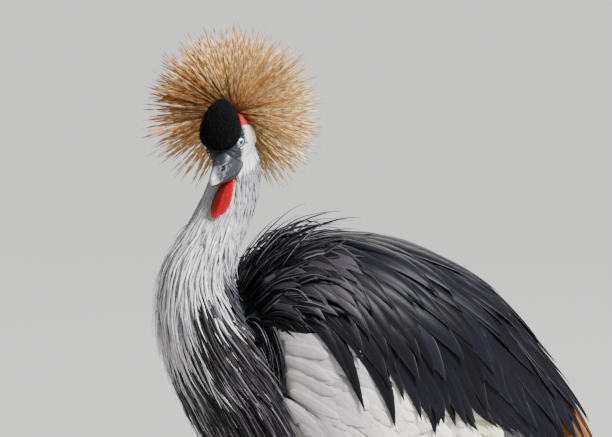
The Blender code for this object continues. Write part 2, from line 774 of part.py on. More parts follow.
def eye_rings(side, grow=0.0):
    return ellipsoid_rings(eye_frame(side), [EYE_RADIUS + grow] * 3, 6, 12)


def head(finish):
    made = loft("head", egg_rings(head_frame(), HEAD, HEAD_SIDES), finish)
    apply_boolean(made, "UNION", [hoop("lid", lid_rings(side), finish) for side in (1, -1)])
    apply_boolean(made, "DIFFERENCE", [loft("socket", eye_rings(side, GAP), finish) for side in (1, -1)])
    return made


def eye(name, side, finish):
    return loft(name, eye_rings(side), finish)


def lower_bill_stations():
    """The bill's stations up to the shorter tip of its lower half, on the same line of the mouth."""
    level = np.interp(LOWER_BILL_END, [station[0] for station in BILL], [station[-1] for station in BILL])
    return BILL[:-1] + ((LOWER_BILL_END, 0.0, 0.0, 0.0, float(level)),)


def bill(name, way, finish):
    """The upper half of the bill, way 1, or the lower half, way -1."""
    frame = head_frame()
    stations = BILL if way > 0 else lower_bill_stations()
    made = loft(name, half_rings(frame, stations, BILL_SIDES, way), finish)
    cutters = head_cutter(finish, lids=True) + [neck_cutter(finish)]
    if way > 0:
        for side in (1, -1):
            place = frame.pitched((NOSTRIL_AT[0], side * NOSTRIL_AT[1], NOSTRIL_AT[2]), 0.0)
            cutters.append(loft("nostril", ellipsoid_rings(place, NOSTRIL_SIZE, 6, 10), finish))
    apply_boolean(made, "DIFFERENCE", cutters)
    return made


def cap_rings(grow=0.0):
    place = head_frame().pitched(CAP_AT, CAP_PITCH)
    return ellipsoid_rings(place, [size + grow for size in CAP_SIZE], 9, 14, CAP_TAPER)


def cap(finish):
    made = loft("cap", cap_rings(), finish)
    cutters = head_cutter(finish, lids=True)
    cutters += [loft("eye_cutter", eye_rings(side, GAP), finish) for side in (1, -1)]
    cutters.append(loft("bill_cutter", half_rings(head_frame(), BILL, BILL_SIDES, 1, GAP), finish))
    apply_boolean(made, "DIFFERENCE", cutters)
    return made


def crest_directions():
    """Directions of the bristles, spread evenly about a line that leans back from the crown."""
    axis = head_frame().pitched(CREST_AT, -CREST_PITCH)
    golden = math.pi * (3 - math.sqrt(5))
    found = []
    for i in range(CREST_SPINES):
        polar = math.acos(1 - (1 - math.cos(CREST_SPREAD)) * (i + 0.5) / CREST_SPINES)
        turn = i * golden
        limit = CREST_SPREAD if math.cos(turn) < 0.35 else CREST_SPREAD_AHEAD
        if polar < limit:
            found.append(turned(-axis.ahead, turned(axis.up, axis.left, turn), polar))
    return found


def clear_of_neck(start, end):
    """Whether a straight piece passes the upper neck, judged at places along it past its first third."""
    top, foot = NECK_BODY.axis(0.0)[0], NECK_BODY.axis(NECK_PARTING)[0]
    run = foot - top
    for share in (0.35, 0.5, 0.65, 0.8, 1.0):
        point = start + (end - start) * share
        down = min(max(float((point - top) @ run / (run @ run)), 0.0), 1.0)
        radius = float(NECK_BODY.curve(NECK_PARTING * down)[2])
        if np.linalg.norm(point - top - run * down) < radius + CREST_NECK_CLEAR:
            return False
    return True


def crest_spines(finish):
    draw = random.Random(11)
    frame = head_frame()
    root = frame.at(*CREST_AT)
    spines = []
    for ahead in crest_directions():
        start = root + ahead * CREST_PAD[0] * CREST_ROOT_SHARE
        tip = root + ahead * CREST_LENGTH * draw.uniform(*CREST_JITTER)
        bow = np.cross(ahead, frame.up) * draw.uniform(-CREST_BOW, CREST_BOW) + frame.left * GAP
        if clear_of_neck(start, tip):
            spines.append(spine(start, tip, bow, SPINE_WIDTH, finish))
    return spines


def crest(finish):
    pad = head_frame().pitched(CREST_AT, 0.0)
    made = loft("crest", ellipsoid_rings(pad, CREST_PAD, 8, 14), finish)
    apply_boolean(made, "UNION", crest_spines(finish))
    cutters = head_cutter(finish) + [neck_cutter(finish), loft("cap_cutter", cap_rings(GAP), finish)]
    apply_boolean(made, "DIFFERENCE", cutters)
    return made


def wattle(finish):
    """Two flat lobes that hang from the chin, with a fold between them."""
    frame = head_frame()
    root = frame.at(*WATTLE_AT)
    down = np.array(WATTLE_DOWN) / np.linalg.norm(WATTLE_DOWN)
    front = np.cross(down, frame.left)
    front /= np.linalg.norm(front)
    across = np.cross(front, down)
    pieces = []
    for lobe in (-1, 1):
        stations = []
        for i in range(WATTLE_STEPS + 1):
            share = 0.5 - 0.5 * math.cos(math.pi * i / WATTLE_STEPS)
            swell = 0.0
            if 0 < i < WATTLE_STEPS:
                swell = math.sin(math.pi * share) ** 0.5 * blend((WATTLE_TOP, 1.0), share)
            half = WATTLE_WIDTH * swell * WATTLE_LOBE
            thick = WATTLE_THICK * swell
            reach = WATTLE_LENGTH * (share - WATTLE_SUNK) * (1 - WATTLE_UNLIKE * lobe)
            stations.append((reach, half, thick, thick, 0.0))
        middle = root + across * lobe * WATTLE_WIDTH * WATTLE_PART
        facing = Frame(middle, down, across, front + across * WATTLE_FACE * lobe)
        rings = egg_rings(facing, stations, WATTLE_SIDES)
        pieces.append(loft("wattle" if lobe < 0 else "lobe", rings, finish))
    made = pieces[0]
    apply_boolean(made, "UNION", pieces[1:])
    lower_bill = loft("bill_cutter", half_rings(frame, BILL, BILL_SIDES, -1, GAP), finish)
    apply_boolean(made, "DIFFERENCE", head_cutter(finish) + [neck_cutter(finish), lower_bill])
    return made


def neck_upper(finish):
    rings = body_rings(NECK_BODY, 0.0, NECK_PARTING - GAP / 2, NECK_STEPS[0], NECK_SIDES)
    made = loft("neck_upper", rings, finish)
    apply_boolean(made, "DIFFERENCE", head_cutter(finish))
    return made


def breast_line(along, angle, length, rise, steps):
    """A breast plume from its root on the neck, down the curtain in front of the breast."""
    path, normals = [], []
    for i in range(steps + 1):
        share = i / steps
        here = along + length * share
        height = -ROOT_DEPTH + (rise + ROOT_DEPTH) * share**0.7
        away = min(1.0, share / BREAST_LEAVES)
        away = away * away * (3 - 2 * away)
        spread = angle + (angle - math.pi) * BREAST_OUTWARDS * share
        near = NECK_BODY.point(min(here, NECK_BODY.length), spread, height)
        path.append(blend((near, CURTAIN_BODY.point(here, spread, height)), away))
        normals.append(CURTAIN_BODY.outward(here, spread))
    return path, normals


def breast_plumes(finish):
    draw = random.Random(5)
    plumes = []
    for row, (along, low, high, count, length) in enumerate(BREAST_ROWS):
        for i in range(count):
            share = (i + 0.5 * (row % 2)) / (count - 0.5)
            angle = math.radians(blend((low, high), share) + BREAST_TURN_JITTER * draw.uniform(-1, 1))
            rise = BREAST_RISE * draw.uniform(*BREAST_RISE_JITTER)
            long = length * draw.uniform(*BREAST_LENGTH_JITTER)
            path, normals = breast_line(along, angle, long, rise, BREAST_STEPS)
            shape = plume_shape(BREAST_STEPS, BREAST_HALF_WIDTH)
            roll = BREAST_ROLL_JITTER * draw.uniform(-1, 1)
            plumes.append(vane(path, normals, shape, VANE_THICK, roll, finish))
    return plumes


def neck_lower(finish):
    rings = body_rings(NECK_BODY, NECK_PARTING + GAP / 2, NECK_BODY.length, NECK_STEPS[1], NECK_SIDES)
    made = loft("neck_lower", rings, finish)
    apply_boolean(made, "UNION", breast_plumes(finish))
    apply_boolean(made, "DIFFERENCE", [torso_cutter(finish)])
    return made


def tail(finish):
    """A short fan of quills under the ends of the wings."""
    start, ahead, back = TORSO_BODY.axis(TORSO_BODY.length - TAIL_INSET)
    frame = Frame(start, ahead, (1.0, 0.0, 0.0), back)
    stations = [(out, width, thick, thick, 0.0) for out, width, thick in TAIL_CORE]
    made = loft("tail", egg_rings(frame, stations, 10), finish)
    quills = []
    for i in range(TAIL_QUILLS):
        share = i / (TAIL_QUILLS - 1) * 2 - 1
        length = TAIL_LENGTH * (1 - TAIL_OUTER_SHORTER * abs(share))
        path = []
        for j in range(TAIL_STEPS + 1):
            far = j / TAIL_STEPS
            level = TAIL_LAYER * TAIL_QUILLS / 2 * (1 - abs(share)) - TAIL_DROOP * far**2
            aside = TAIL_HALF_SPREAD * share * blend((TAIL_ROOT_SPREAD, 1.0), far)
            path.append(frame.at(TAIL_QUILL_FROM + length * far, aside, level))
        shape = feather_shape(TAIL_STEPS, TAIL_QUILL_HALF)
        quills.append(vane(path, [frame.up] * len(path), shape, VANE_THICK, 0.0, finish))
    apply_boolean(made, "UNION", quills)
    apply_boolean(made, "DIFFERENCE", [torso_cutter(finish)])
    return made


def leg_places(side):
    return [np.array([side * p[0], p[1], p[2]]) for p in (HIP, HOCK, ANKLE)]


def round_rings(centres, aheads, sizes, sides):
    """Rings across the given directions, each with a half width and a half depth."""
    rings = []
    for centre, ahead, (width, depth) in zip(centres, aheads, sizes):
        side = np.array([1.0, 0.0, 0.0])
        across = np.cross(side, ahead)
        across /= np.linalg.norm(across)
        turns = [2 * math.pi * j / sides for j in range(sides)]
        rings.append([centre + turned(side * width, across * depth, turn) for turn in turns])
    return rings


def limb(name, start, end, stations, trims, ends, finish):
    """A length of leg. A station is a share of the way, half width and half depth. Trims shorten it."""
    run = end - start
    length = np.linalg.norm(run)
    run = run / length
    centres, aheads, sizes = [], [], []
    for i, station in enumerate(stations):
        place = start + run * station[0] * length
        if i == 0:
            place = place + run * trims[0]
        if i == len(stations) - 1:
            place = place - run * trims[1]
        centres.append(place)
        aheads.append(ends[0] if i == 0 else ends[1] if i == len(stations) - 1 else run)
        sizes.append((station[1], station[-1]))
    return loft(name, round_rings(centres, aheads, sizes, LEG_SIDES), finish)


def toe_rings(frame, length, half_width):
    """Rings of a toe that lies flat on the floor, thicker at its joints."""
    rings = []
    for share, swell, sole in TOE_SHAPE:
        half = half_width * swell
        ring = []
        for across, up in TOE_SECTION:
            ring.append(frame.at(length * share, half * across, max(sole, half * up)))
        rings.append(ring)
    return rings


def toe_frame(side, turn):
    """The frame of a toe, on the floor under the ankle."""
    turn = math.radians(turn) * side
    return Frame(
        (side * ANKLE[0], ANKLE[1], 0.0),
        (math.sin(turn), -math.cos(turn), 0.0),
        (math.cos(turn), math.sin(turn), 0.0),
        (0.0, 0.0, 1.0),
    )


def foot(name, side, finish):
    centre = leg_places(side)[2]
    centres = [np.array([centre[0], centre[1], height]) for height, *_ in FOOT]
    upwards = [np.array([0.0, 0.0, 1.0])] * len(FOOT)
    made = loft(name, round_rings(centres, upwards, [sizes for _, *sizes in FOOT], LEG_SIDES), finish)
    toes = []
    for turn, length, half in TOES:
        toes.append(loft("toe", toe_rings(toe_frame(side, turn), length, half), finish))
    apply_boolean(made, "UNION", toes)
    return made


def claw(name, side, toe, finish):
    """A blunt curved claw at the end of a toe."""
    turn, length, half = toe
    frame = toe_frame(side, turn)
    rings = []
    for share, size, rise in CLAW:
        middle = 0.0006 + half * (0.95 - 0.55 * share)
        ring = []
        for j in range(6):
            spot = 2 * math.pi * j / 6
            up = max(0.0005 + rise, middle + half * size * math.cos(spot) * 1.2)
            ring.append(frame.at(length + GAP + CLAW_LENGTH * share, half * size * math.sin(spot), up))
        rings.append(ring)
    rings.append([frame.at(length + GAP + CLAW_LENGTH, 0.0, 0.0009)])
    return loft(name, rings, finish)


def leg(side, names, finishes):
    """The thigh, shin, tarsus, foot and claws of one side."""
    word = "left" if side > 0 else "right"
    hip, hock, ankle = leg_places(side)
    upper = (hock - hip) / np.linalg.norm(hock - hip)
    lower = (ankle - hock) / np.linalg.norm(ankle - hock)
    bend = upper + lower
    bend = bend / np.linalg.norm(bend)
    down = np.array([0.0, 0.0, -1.0])
    made = limb("thigh_" + word, hip, hock, THIGH, (0.0, GAP / 2), (upper, upper), finishes["flank"])
    apply_boolean(made, "DIFFERENCE", [torso_cutter(finishes["flank"])])
    limb("shin_" + word, hip, hock, SHIN, (GAP / 2, GAP / 2), (upper, bend), finishes["leg"])
    limb("tarsus_" + word, hock, ankle, TARSUS, (GAP / 2, GAP / 2), (bend, down), finishes["leg"])
    foot("foot_" + word, side, finishes["leg"])
    for toe, place in zip(TOES, names):
        claw("claw_" + place + "_" + word, side, toe, finishes["claw"])


def main():
    clear_scene()
    slate = material("slate_plumes", (0.045, 0.045, 0.055), 0.65)
    grey = material("pearl_grey_plumes", (0.42, 0.42, 0.46), 0.75)
    face = material("white_face", (0.80, 0.78, 0.74), 0.8)
    horn = material("horn", (0.10, 0.105, 0.12), 0.45)
    finishes = {
        "leg": material("black_leg", (0.02, 0.02, 0.022), 0.6),
        "claw": material("claw_horn", (0.03, 0.028, 0.026), 0.4),
        "flank": material("flank_plumes", (0.10, 0.10, 0.115), 0.75),
    }
    torso(slate)
    wing("wing_left", 1, 21, material("wing_plumes_left", (0.06, 0.06, 0.07), 0.6))
    wing("wing_right", -1, 22, material("wing_plumes_right", (0.06, 0.06, 0.07), 0.6))
    tail(material("tail_quills", (0.015, 0.015, 0.02), 0.55))
    neck_lower(grey)
    neck_upper(material("neck_down", (0.50, 0.50, 0.53), 0.8))
    head(face)
    cap(material("velvet_cap", (0.004, 0.004, 0.005), 0.95))
    bill("bill_upper", 1, horn)
    bill("bill_lower", -1, material("lower_horn", (0.08, 0.085, 0.10), 0.45))
    iris = material("pale_blue_eye", (0.55, 0.75, 0.85), 0.1)
    eye("eye_left", 1, iris)
    eye("eye_right", -1, iris)
    crest(material("golden_bristles", (0.75, 0.52, 0.20), 0.6))
    wattle(material("red_wattle", (0.65, 0.02, 0.02), 0.5))
    for side in (1, -1):
        leg(side, ("middle", "outer", "inner", "hind"), finishes)


main()
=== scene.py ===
import math

import bmesh
import bpy
import numpy as np
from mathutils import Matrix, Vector


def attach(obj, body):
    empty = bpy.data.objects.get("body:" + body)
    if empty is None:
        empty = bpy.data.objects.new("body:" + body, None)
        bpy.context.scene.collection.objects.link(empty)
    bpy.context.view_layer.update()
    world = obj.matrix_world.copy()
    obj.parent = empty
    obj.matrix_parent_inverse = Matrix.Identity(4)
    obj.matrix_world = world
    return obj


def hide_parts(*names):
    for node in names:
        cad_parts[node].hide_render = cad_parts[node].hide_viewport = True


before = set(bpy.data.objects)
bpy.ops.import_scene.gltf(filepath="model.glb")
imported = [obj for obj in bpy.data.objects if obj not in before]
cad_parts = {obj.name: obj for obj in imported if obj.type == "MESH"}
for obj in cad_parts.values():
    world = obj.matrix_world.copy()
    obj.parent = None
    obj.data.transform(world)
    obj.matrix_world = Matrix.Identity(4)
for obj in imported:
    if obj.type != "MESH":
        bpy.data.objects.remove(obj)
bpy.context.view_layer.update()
bpy.ops.object.select_all(action="DESELECT")
print("frame loaded:", len(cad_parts), "nodes")

sideways = np.array([1.0, 0.0, 0.0])
upright = np.array([0.0, 0.0, 1.0])


# shapes: directions, smooth curves through stations, and round bodies that feathers lie on

def unit(v):
    return v / np.maximum(np.linalg.norm(v, axis=-1, keepdims=True), 1e-12)


def turned(first, second, angle):
    angle = np.asarray(angle, float)[..., None]
    return first * np.cos(angle) + second * np.sin(angle)


def ease(low, high, value):
    share = np.clip((value - low) / (high - low), 0.0, 1.0)
    return share * share * (3 - 2 * share)


def between(ends, share):
    return ends[0] + (ends[1] - ends[0]) * share


def mix(first, second, share):
    share = np.asarray(share, float)[..., None]
    return np.asarray(first, float) * (1 - share) + np.asarray(second, float) * share


def fullTurn(sides):
    return np.linspace(0, 2 * np.pi, sides, endpoint=False)


def goldenTurn(index):
    # turns that spread numbered points evenly over a ball
    return index * math.pi * (3 - math.sqrt(5))


def fromBack(angle):
    # how far an angle is from 0, either way round
    return np.abs(np.angle(np.exp(1j * np.asarray(angle))))


def ripple(points, scale, seed):
    # smooth noise from -1 to 1, with blotches about 3 / scale across
    draw = np.random.default_rng(seed)
    total, waves = 0.0, 7
    for k in range(waves):
        way = unit(draw.normal(size=3)) * scale * (1 + 0.3 * k)
        total = total + np.sin(points @ way + draw.uniform(0, 6.28))
    return total / math.sqrt(waves) / 1.4


class Curve:
    # a smooth curve through rows of values at the given places
    def __init__(self, places, rows):
        self.places = np.asarray(places, float)
        self.rows = np.asarray(rows, float)
        self.slopes = np.gradient(self.rows, self.places, axis=0)

    def __call__(self, place):
        place = np.clip(place, self.places[0], self.places[-1])
        i = np.clip(np.searchsorted(self.places, place, side="right") - 1, 0, len(self.places) - 2)
        span = (self.places[i + 1] - self.places[i])[..., None]
        t = (place - self.places[i])[..., None] / span
        start = (1 + 2 * t) * (1 - t) ** 2 * self.rows[i] + t * (1 - t) ** 2 * span * self.slopes[i]
        end = t * t * (3 - 2 * t) * self.rows[i + 1] - t * t * (1 - t) * span * self.slopes[i + 1]
        return start + end


class RoundBody:
    # stations are y, z, half width, reach to the back, reach to the front
    # angle 0 is the back, 90 degrees the left side
    def __init__(self, stations):
        rows = np.array(stations, float)
        steps = np.hypot(*np.diff(rows[:, :2], axis=0).T)
        self.at = np.concatenate([[0.0], np.cumsum(steps)])
        self.length = float(self.at[-1])
        self.curve = Curve(self.at, rows)

    def axis(self, along):
        along = np.asarray(along, float)
        here, step = self.curve(along), 0.002
        inside = np.clip(along, step, self.length - step)
        ahead = unit(self.curve(inside + step)[..., :2] - self.curve(inside - step)[..., :2])
        past = np.maximum(along - self.length, 0.0)[..., None]
        place = here[..., :2] + ahead * past
        none = np.zeros(place.shape[:-1])
        centre = np.stack([none, place[..., 0], place[..., 1]], -1)
        back = np.stack([none, -ahead[..., 1], ahead[..., 0]], -1)
        return centre, back

    def point(self, along, angle, height=0.0):
        along, angle, height = np.broadcast_arrays(*(np.asarray(v, float) for v in (along, angle, height)))
        centre, back = self.axis(along)
        here = self.curve(along)
        depth = np.where(np.cos(angle) > 0, here[..., 3], here[..., 4])
        up = ((depth + height) * np.cos(angle))[..., None]
        out = ((here[..., 2] + height) * np.sin(angle))[..., None]
        return centre + back * up + sideways * out

    def outward(self, along, angle):
        along, angle = np.broadcast_arrays(np.asarray(along, float), np.asarray(angle, float))
        margin, step, swing = 0.004, 0.003, 0.03
        inside = np.clip(along, margin, self.length - margin)
        run = self.point(inside + step, angle) - self.point(inside - step, angle)
        turn = self.point(inside, angle + swing) - self.point(inside, angle - swing)
        return unit(np.cross(turn, run))


torsoShape = RoundBody((
    (-0.212, 0.535, 0.0, 0.0, 0.0), (-0.204, 0.536, 0.034, 0.044, 0.04),
    (-0.185, 0.538, 0.06, 0.074, 0.07), (-0.15, 0.541, 0.081, 0.098, 0.096),
    (-0.09, 0.545, 0.096, 0.116, 0.12), (-0.02, 0.543, 0.101, 0.112, 0.128),
    (0.05, 0.526, 0.096, 0.094, 0.118), (0.12, 0.488, 0.08, 0.076, 0.092),
    (0.18, 0.448, 0.054, 0.05, 0.058), (0.23, 0.409, 0.028, 0.03, 0.028),
    (0.246, 0.395, 0.0, 0.0, 0.0)))
neckStations = (
    (-0.203, 0.812, 0.0, 0.0, 0.0), (-0.203, 0.806, 0.012, 0.012, 0.012),
    (-0.203, 0.796, 0.02, 0.02, 0.02), (-0.203, 0.78, 0.0268, 0.0268, 0.0268),
    (-0.204, 0.758, 0.03, 0.03, 0.03), (-0.21, 0.73, 0.032, 0.032, 0.0325),
    (-0.224, 0.698, 0.0335, 0.033, 0.0345), (-0.241, 0.664, 0.0365, 0.035, 0.0375),
    (-0.254, 0.628, 0.042, 0.0405, 0.043), (-0.252, 0.59, 0.048, 0.045, 0.047),
    (-0.236, 0.547, 0.056, 0.049, 0.051), (-0.205, 0.508, 0.064, 0.052, 0.052),
    (-0.16, 0.487, 0.05, 0.04, 0.036), (-0.12, 0.48, 0.02, 0.02, 0.02))
neckShape = RoundBody(neckStations)
curtainShape = RoundBody(neckStations[:8] + (   # in front of the breast the plumes hang on this
    (-0.255, 0.628, 0.043, 0.041, 0.0445), (-0.253, 0.59, 0.054, 0.046, 0.052),
    (-0.237, 0.54, 0.074, 0.051, 0.057), (-0.21, 0.49, 0.088, 0.05, 0.056),
    (-0.184, 0.44, 0.086, 0.045, 0.05), (-0.156, 0.388, 0.074, 0.035, 0.04),
    (-0.128, 0.34, 0.06, 0.028, 0.032)))
wingClear = 0.0032
wingStations = tuple((y, z, *(r + wingClear for r in reach)) for y, z, *reach in torsoShape.curve.rows[1:8])
wingShape = RoundBody(wingStations + (
    (0.18, 0.448, 0.066, 0.056, 0.062), (0.23, 0.404, 0.058, 0.042, 0.05),
    (0.268, 0.355, 0.052, 0.034, 0.04), (0.292, 0.3, 0.046, 0.03, 0.034),
    (0.304, 0.24, 0.04, 0.026, 0.028)))


class Place:
    # a point with its own directions ahead, left and up
    def __init__(self, origin, ahead, left, up):
        self.origin, self.ahead, self.left, self.up = (np.array(v, float) for v in (origin, ahead, left, up))

    def at(self, ahead, left, up):
        ahead, left, up = (np.asarray(v, float)[..., None] for v in (ahead, left, up))
        return self.origin + self.ahead * ahead + self.left * left + self.up * up

    def pitched(self, place, pitch):
        ahead = turned(self.ahead, self.up, pitch)
        return Place(self.at(*place), ahead, self.left, turned(self.up, -self.ahead, pitch))

    def local(self, points):
        away = points - self.origin
        return away @ self.ahead, away @ self.left, away @ self.up


headPose = {"at": (0.012, -0.221, 0.801), "turn": 47, "nod": 31, "tilt": 10}


def headPlace():
    turn, nod, tilt = (math.radians(headPose[k]) for k in ("turn", "nod", "tilt"))
    level = np.array([math.sin(turn), -math.cos(turn), 0.0])
    left = np.array([math.cos(turn), math.sin(turn), 0.0])
    ahead, up = turned(level, -upright, nod), turned(upright, level, nod)
    return Place(headPose["at"], ahead, turned(left, up, tilt), turned(up, -left, tilt))


headAt = headPlace()
headStations = np.array((   # ahead, half width, rise, fall, level
    (-0.036, 0.0, 0.0, 0.0, 0.0), (-0.034, 0.011, 0.011, 0.012, 0.0),
    (-0.028, 0.02, 0.0195, 0.0215, 0.0), (-0.017, 0.027, 0.026, 0.029, 0.0),
    (-0.004, 0.0295, 0.0285, 0.0315, 0.0), (0.01, 0.0275, 0.026, 0.0315, 0.0),
    (0.021, 0.0225, 0.014, 0.0305, 0.0), (0.028, 0.018, 0.004, 0.028, 0.0),
    (0.033, 0.01, 0.001, 0.02, -0.003), (0.035, 0.0, 0.0, 0.0, -0.01)))
headCurve = Curve(headStations[:, 0], headStations[:, 1:])
cheekMake = {"depth": 0.0048, "ahead": -0.008, "up": -0.016, "wide": 0.016, "tall": 0.015}


def headPoint(ahead, angle, height=0.0):
    # a point of the skull's form: angle 0 is the crown, 90 degrees the left cheek
    width, rise, fall, level = np.moveaxis(headCurve(np.asarray(ahead, float)), -1, 0)
    tall = np.where(np.cos(angle) > 0, rise, fall)
    up = level + np.cos(angle) * (tall + height)
    past = (ahead - cheekMake["ahead"]) / cheekMake["wide"]
    above = (up - cheekMake["up"]) / cheekMake["tall"]
    cheek = cheekMake["depth"] * np.exp(-past ** 2 - above ** 2)
    return headAt.at(ahead, np.sin(angle) * (width + height + cheek), up)


def headOutward(ahead, angle):
    step, swing = 0.001, 0.04
    run = headPoint(ahead + step, angle) - headPoint(ahead - step, angle)
    turn = headPoint(ahead, angle + swing) - headPoint(ahead, angle - swing)
    return unit(np.cross(run, turn))


# meshes from arrays

def placed(name, data):
    made = bpy.data.objects.new(name, data)
    bpy.context.scene.collection.objects.link(made)
    return made


def smoothShade(mesh):
    mesh.polygons.foreach_set("use_smooth", np.ones(len(mesh.polygons), bool))


def setTint(mesh, tint):
    layer = mesh.color_attributes.new("Tint", "FLOAT_COLOR", "POINT")
    tint = np.broadcast_to(tint, (len(mesh.vertices), 3))
    rgba = np.concatenate([np.clip(tint, 0, 1), np.ones((len(tint), 1))], 1)
    layer.data.foreach_set("color", rgba.astype(np.float32).ravel())


def arrayMesh(name, points, quads, tint=None, uvs=None):
    mesh = bpy.data.meshes.new(name)
    mesh.vertices.add(len(points))
    mesh.vertices.foreach_set("co", np.asarray(points, np.float32).ravel())
    mesh.loops.add(quads.size)
    mesh.loops.foreach_set("vertex_index", quads.ravel().astype(np.int32))
    mesh.polygons.add(len(quads))
    mesh.polygons.foreach_set("loop_start", np.arange(0, quads.size, 4, dtype=np.int32))
    mesh.update(calc_edges=True)
    smoothShade(mesh)
    if tint is not None:
        setTint(mesh, tint)
    for label, values in (uvs or {}).items():
        layer = mesh.uv_layers.new(name=label)
        layer.data.foreach_set("uv", values[quads.ravel()].astype(np.float32).ravel())
    return placed(name, mesh)


def sheetFaces(grid):
    # the faces of a closed sheet from its two layers of numbered points
    faces = []
    for g in (grid[0], grid[1][:, ::-1]):
        faces.append(np.stack([g[:-1, :-1], g[:-1, 1:], g[1:, 1:], g[1:, :-1]], -1).reshape(-1, 4))
    rim = np.concatenate([grid[:, 0, :], grid[:, 1:, -1], grid[:, -1, -2::-1], grid[:, -2:0:-1, 0]], 1)
    ahead = np.roll(rim, -1, 1)
    faces.append(np.stack([rim[0], rim[1], ahead[1], ahead[0]], -1))
    return np.concatenate(faces)


def settle(made, finish, replaces=()):
    # finishes a piece: its material, its body and the nodes it stands for
    made.data.materials.append(finish)
    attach(made, "root")
    if replaces:
        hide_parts(*replaces)
    made.data.calc_loop_triangles()
    print("made", made.name, "of", len(made.data.loop_triangles), "triangles")
    return made


# places across a vane, from edge to edge
thin = np.array([-1.0, 1.0])
fine = np.array([-1.0, 0.0, 1.0])
plain = np.array([-1.0, -0.55, 0.0, 0.55, 1.0])
edged = np.array([-1.0, -0.88, -0.45, 0.0, 0.45, 0.88, 1.0])


class Plumage:
    # many vanes, each a thin closed blade, gathered into one mesh
    thinner, underside, bakeSize = 0.7, 0.85, 0.003

    def __init__(self):
        self.points, self.quads, self.tints, self.vane, self.bake = [], [], [], [], []
        self.count = 0

    def add(self, line, normal, half, tint, patch, columns, camber, thick, roll=0.0, wave=None):
        # line, normal and half give each vane's middle, face and half width at its steps
        feathers, steps = line.shape[:2]
        ahead = np.gradient(line, axis=1)
        side = unit(np.cross(normal, ahead))
        up = unit(np.cross(ahead, side))
        across = len(columns)
        offset = half[:, :, None] * columns
        arch = half[:, :, None] * (np.asarray(roll)[..., None] * columns - np.asarray(camber) * columns ** 2)
        if wave is not None:
            arch = arch + wave * np.abs(columns) ** 2 * half[:, :, None]
        middle = line[:, :, None] + side[:, :, None] * offset[..., None] + up[:, :, None] * arch[..., None]
        body = up[:, :, None] * (thick / 2 * (1 - self.thinner * np.abs(columns)))[:, None]
        cloud = np.stack([middle + body, middle - body], 1)       # feather, layer, step, across
        faces = sheetFaces(np.arange(2 * steps * across).reshape(2, steps, across))
        per = 2 * steps * across
        first = (np.arange(feathers) * per)[:, None, None] + self.count
        self.quads.append((faces[None] + first).reshape(-1, 4))
        self.count += feathers * per
        self.points.append(cloud.reshape(-1, 3))
        tint = np.broadcast_to(tint, (feathers, steps, across, 3))
        self.tints.append(np.stack([tint, tint * self.underside], 1).reshape(-1, 3))
        s, t = np.meshgrid((columns + 1) / 2, np.linspace(0, 1, steps))
        blade = np.broadcast_to(np.stack([s, t], -1), (feathers, 2, steps, across, 2))
        self.vane.append(blade.reshape(-1, 2))
        spot = np.asarray(patch)[:, None, None, None] + (blade - 0.5) * self.bakeSize
        self.bake.append(spot.reshape(-1, 2))
        return self

    def build(self, name, finish, slot, replaces=()):
        uvs = {"Vane": np.concatenate(self.vane), "OFBake": np.concatenate(self.bake)}
        points, quads, tints = (np.concatenate(rows) for rows in (self.points, self.quads, self.tints))
        settle(arrayMesh(name, points, quads, tints, uvs), finish, replaces)


def rowsOn(shape, make, low, high, draw):
    # roots in staggered rows on a body: distance along it and angle, in radians, of each
    start, end, spacing = make["from"], make["to"], make["spacing"]
    along, angle = [], []
    steps = max(1, round((end - start) / spacing[0]))
    for k in range(steps + 1):
        here = start + (end - start) * k / steps
        width, back, front = shape.curve(np.array(here))[2:5]
        wide = math.radians(high - low)
        count = max(1, round(wide * (width + (back + front) / 2) / 2 / spacing[1]))
        place = (np.arange(count) + 0.5 + 0.5 * (k % 2 - 0.5)) / count
        angle.append(math.radians(low) + wide * (place + draw.normal(0, 0.25 / count, count)))
        along.append(here + draw.normal(0, spacing[0] * 0.25, count))
    return np.concatenate(along), np.concatenate(angle)


def bladeShape(share, root=0.55, peak=0.35, end=0.06, power=1.0):
    # share of the full half width along a feather
    share = np.asarray(share, float)
    rise = root + (1 - root) * np.sin(np.pi / 2 * np.clip(share / peak, 0, 1))
    past = np.clip(share - peak, 0, 1) / (1 - peak)
    fall = np.sqrt(np.clip(1 - past ** (2 * power), 0, 1))
    return np.maximum(np.where(share < peak, rise, fall), end)


def lanceShape(share, root=0.6, peak=0.4, end=0.03):
    # the same for a feather that narrows steadily to a long point
    share = np.asarray(share, float)
    rise = root + (1 - root) * np.sin(np.pi / 2 * np.clip(share / peak, 0, 1))
    past = np.clip(share - peak, 0, 1) / (1 - peak)
    return np.maximum(np.where(share < peak, rise, 1 - past ** 1.6), end)


def widths(full, form, draw, low, high, count):
    # the half widths of count feathers of one form, each a little wider or slimmer
    return full * form * draw.uniform(low, high, (count, 1))


def lie(shape, along, angle, length, lean, rise, sink, steps):
    # lines and normals of feathers that lie along a body from their roots
    share = np.linspace(0, 1, steps)[None]
    here = along[:, None] + length[:, None] * share
    turn = angle[:, None] + lean[:, None] * share ** 1.2
    height = -sink + (rise[:, None] + sink) * share ** 0.6
    return shape.point(here, turn, height), shape.outward(here, turn)


def roundPatch(angle, share):
    # a root's place on the unwrap of a round body
    turn = np.asarray(angle) / (2 * np.pi) % 1.0
    return 0.02 + 0.96 * np.stack([turn, np.clip(share, 0, 1)], -1)


# materials

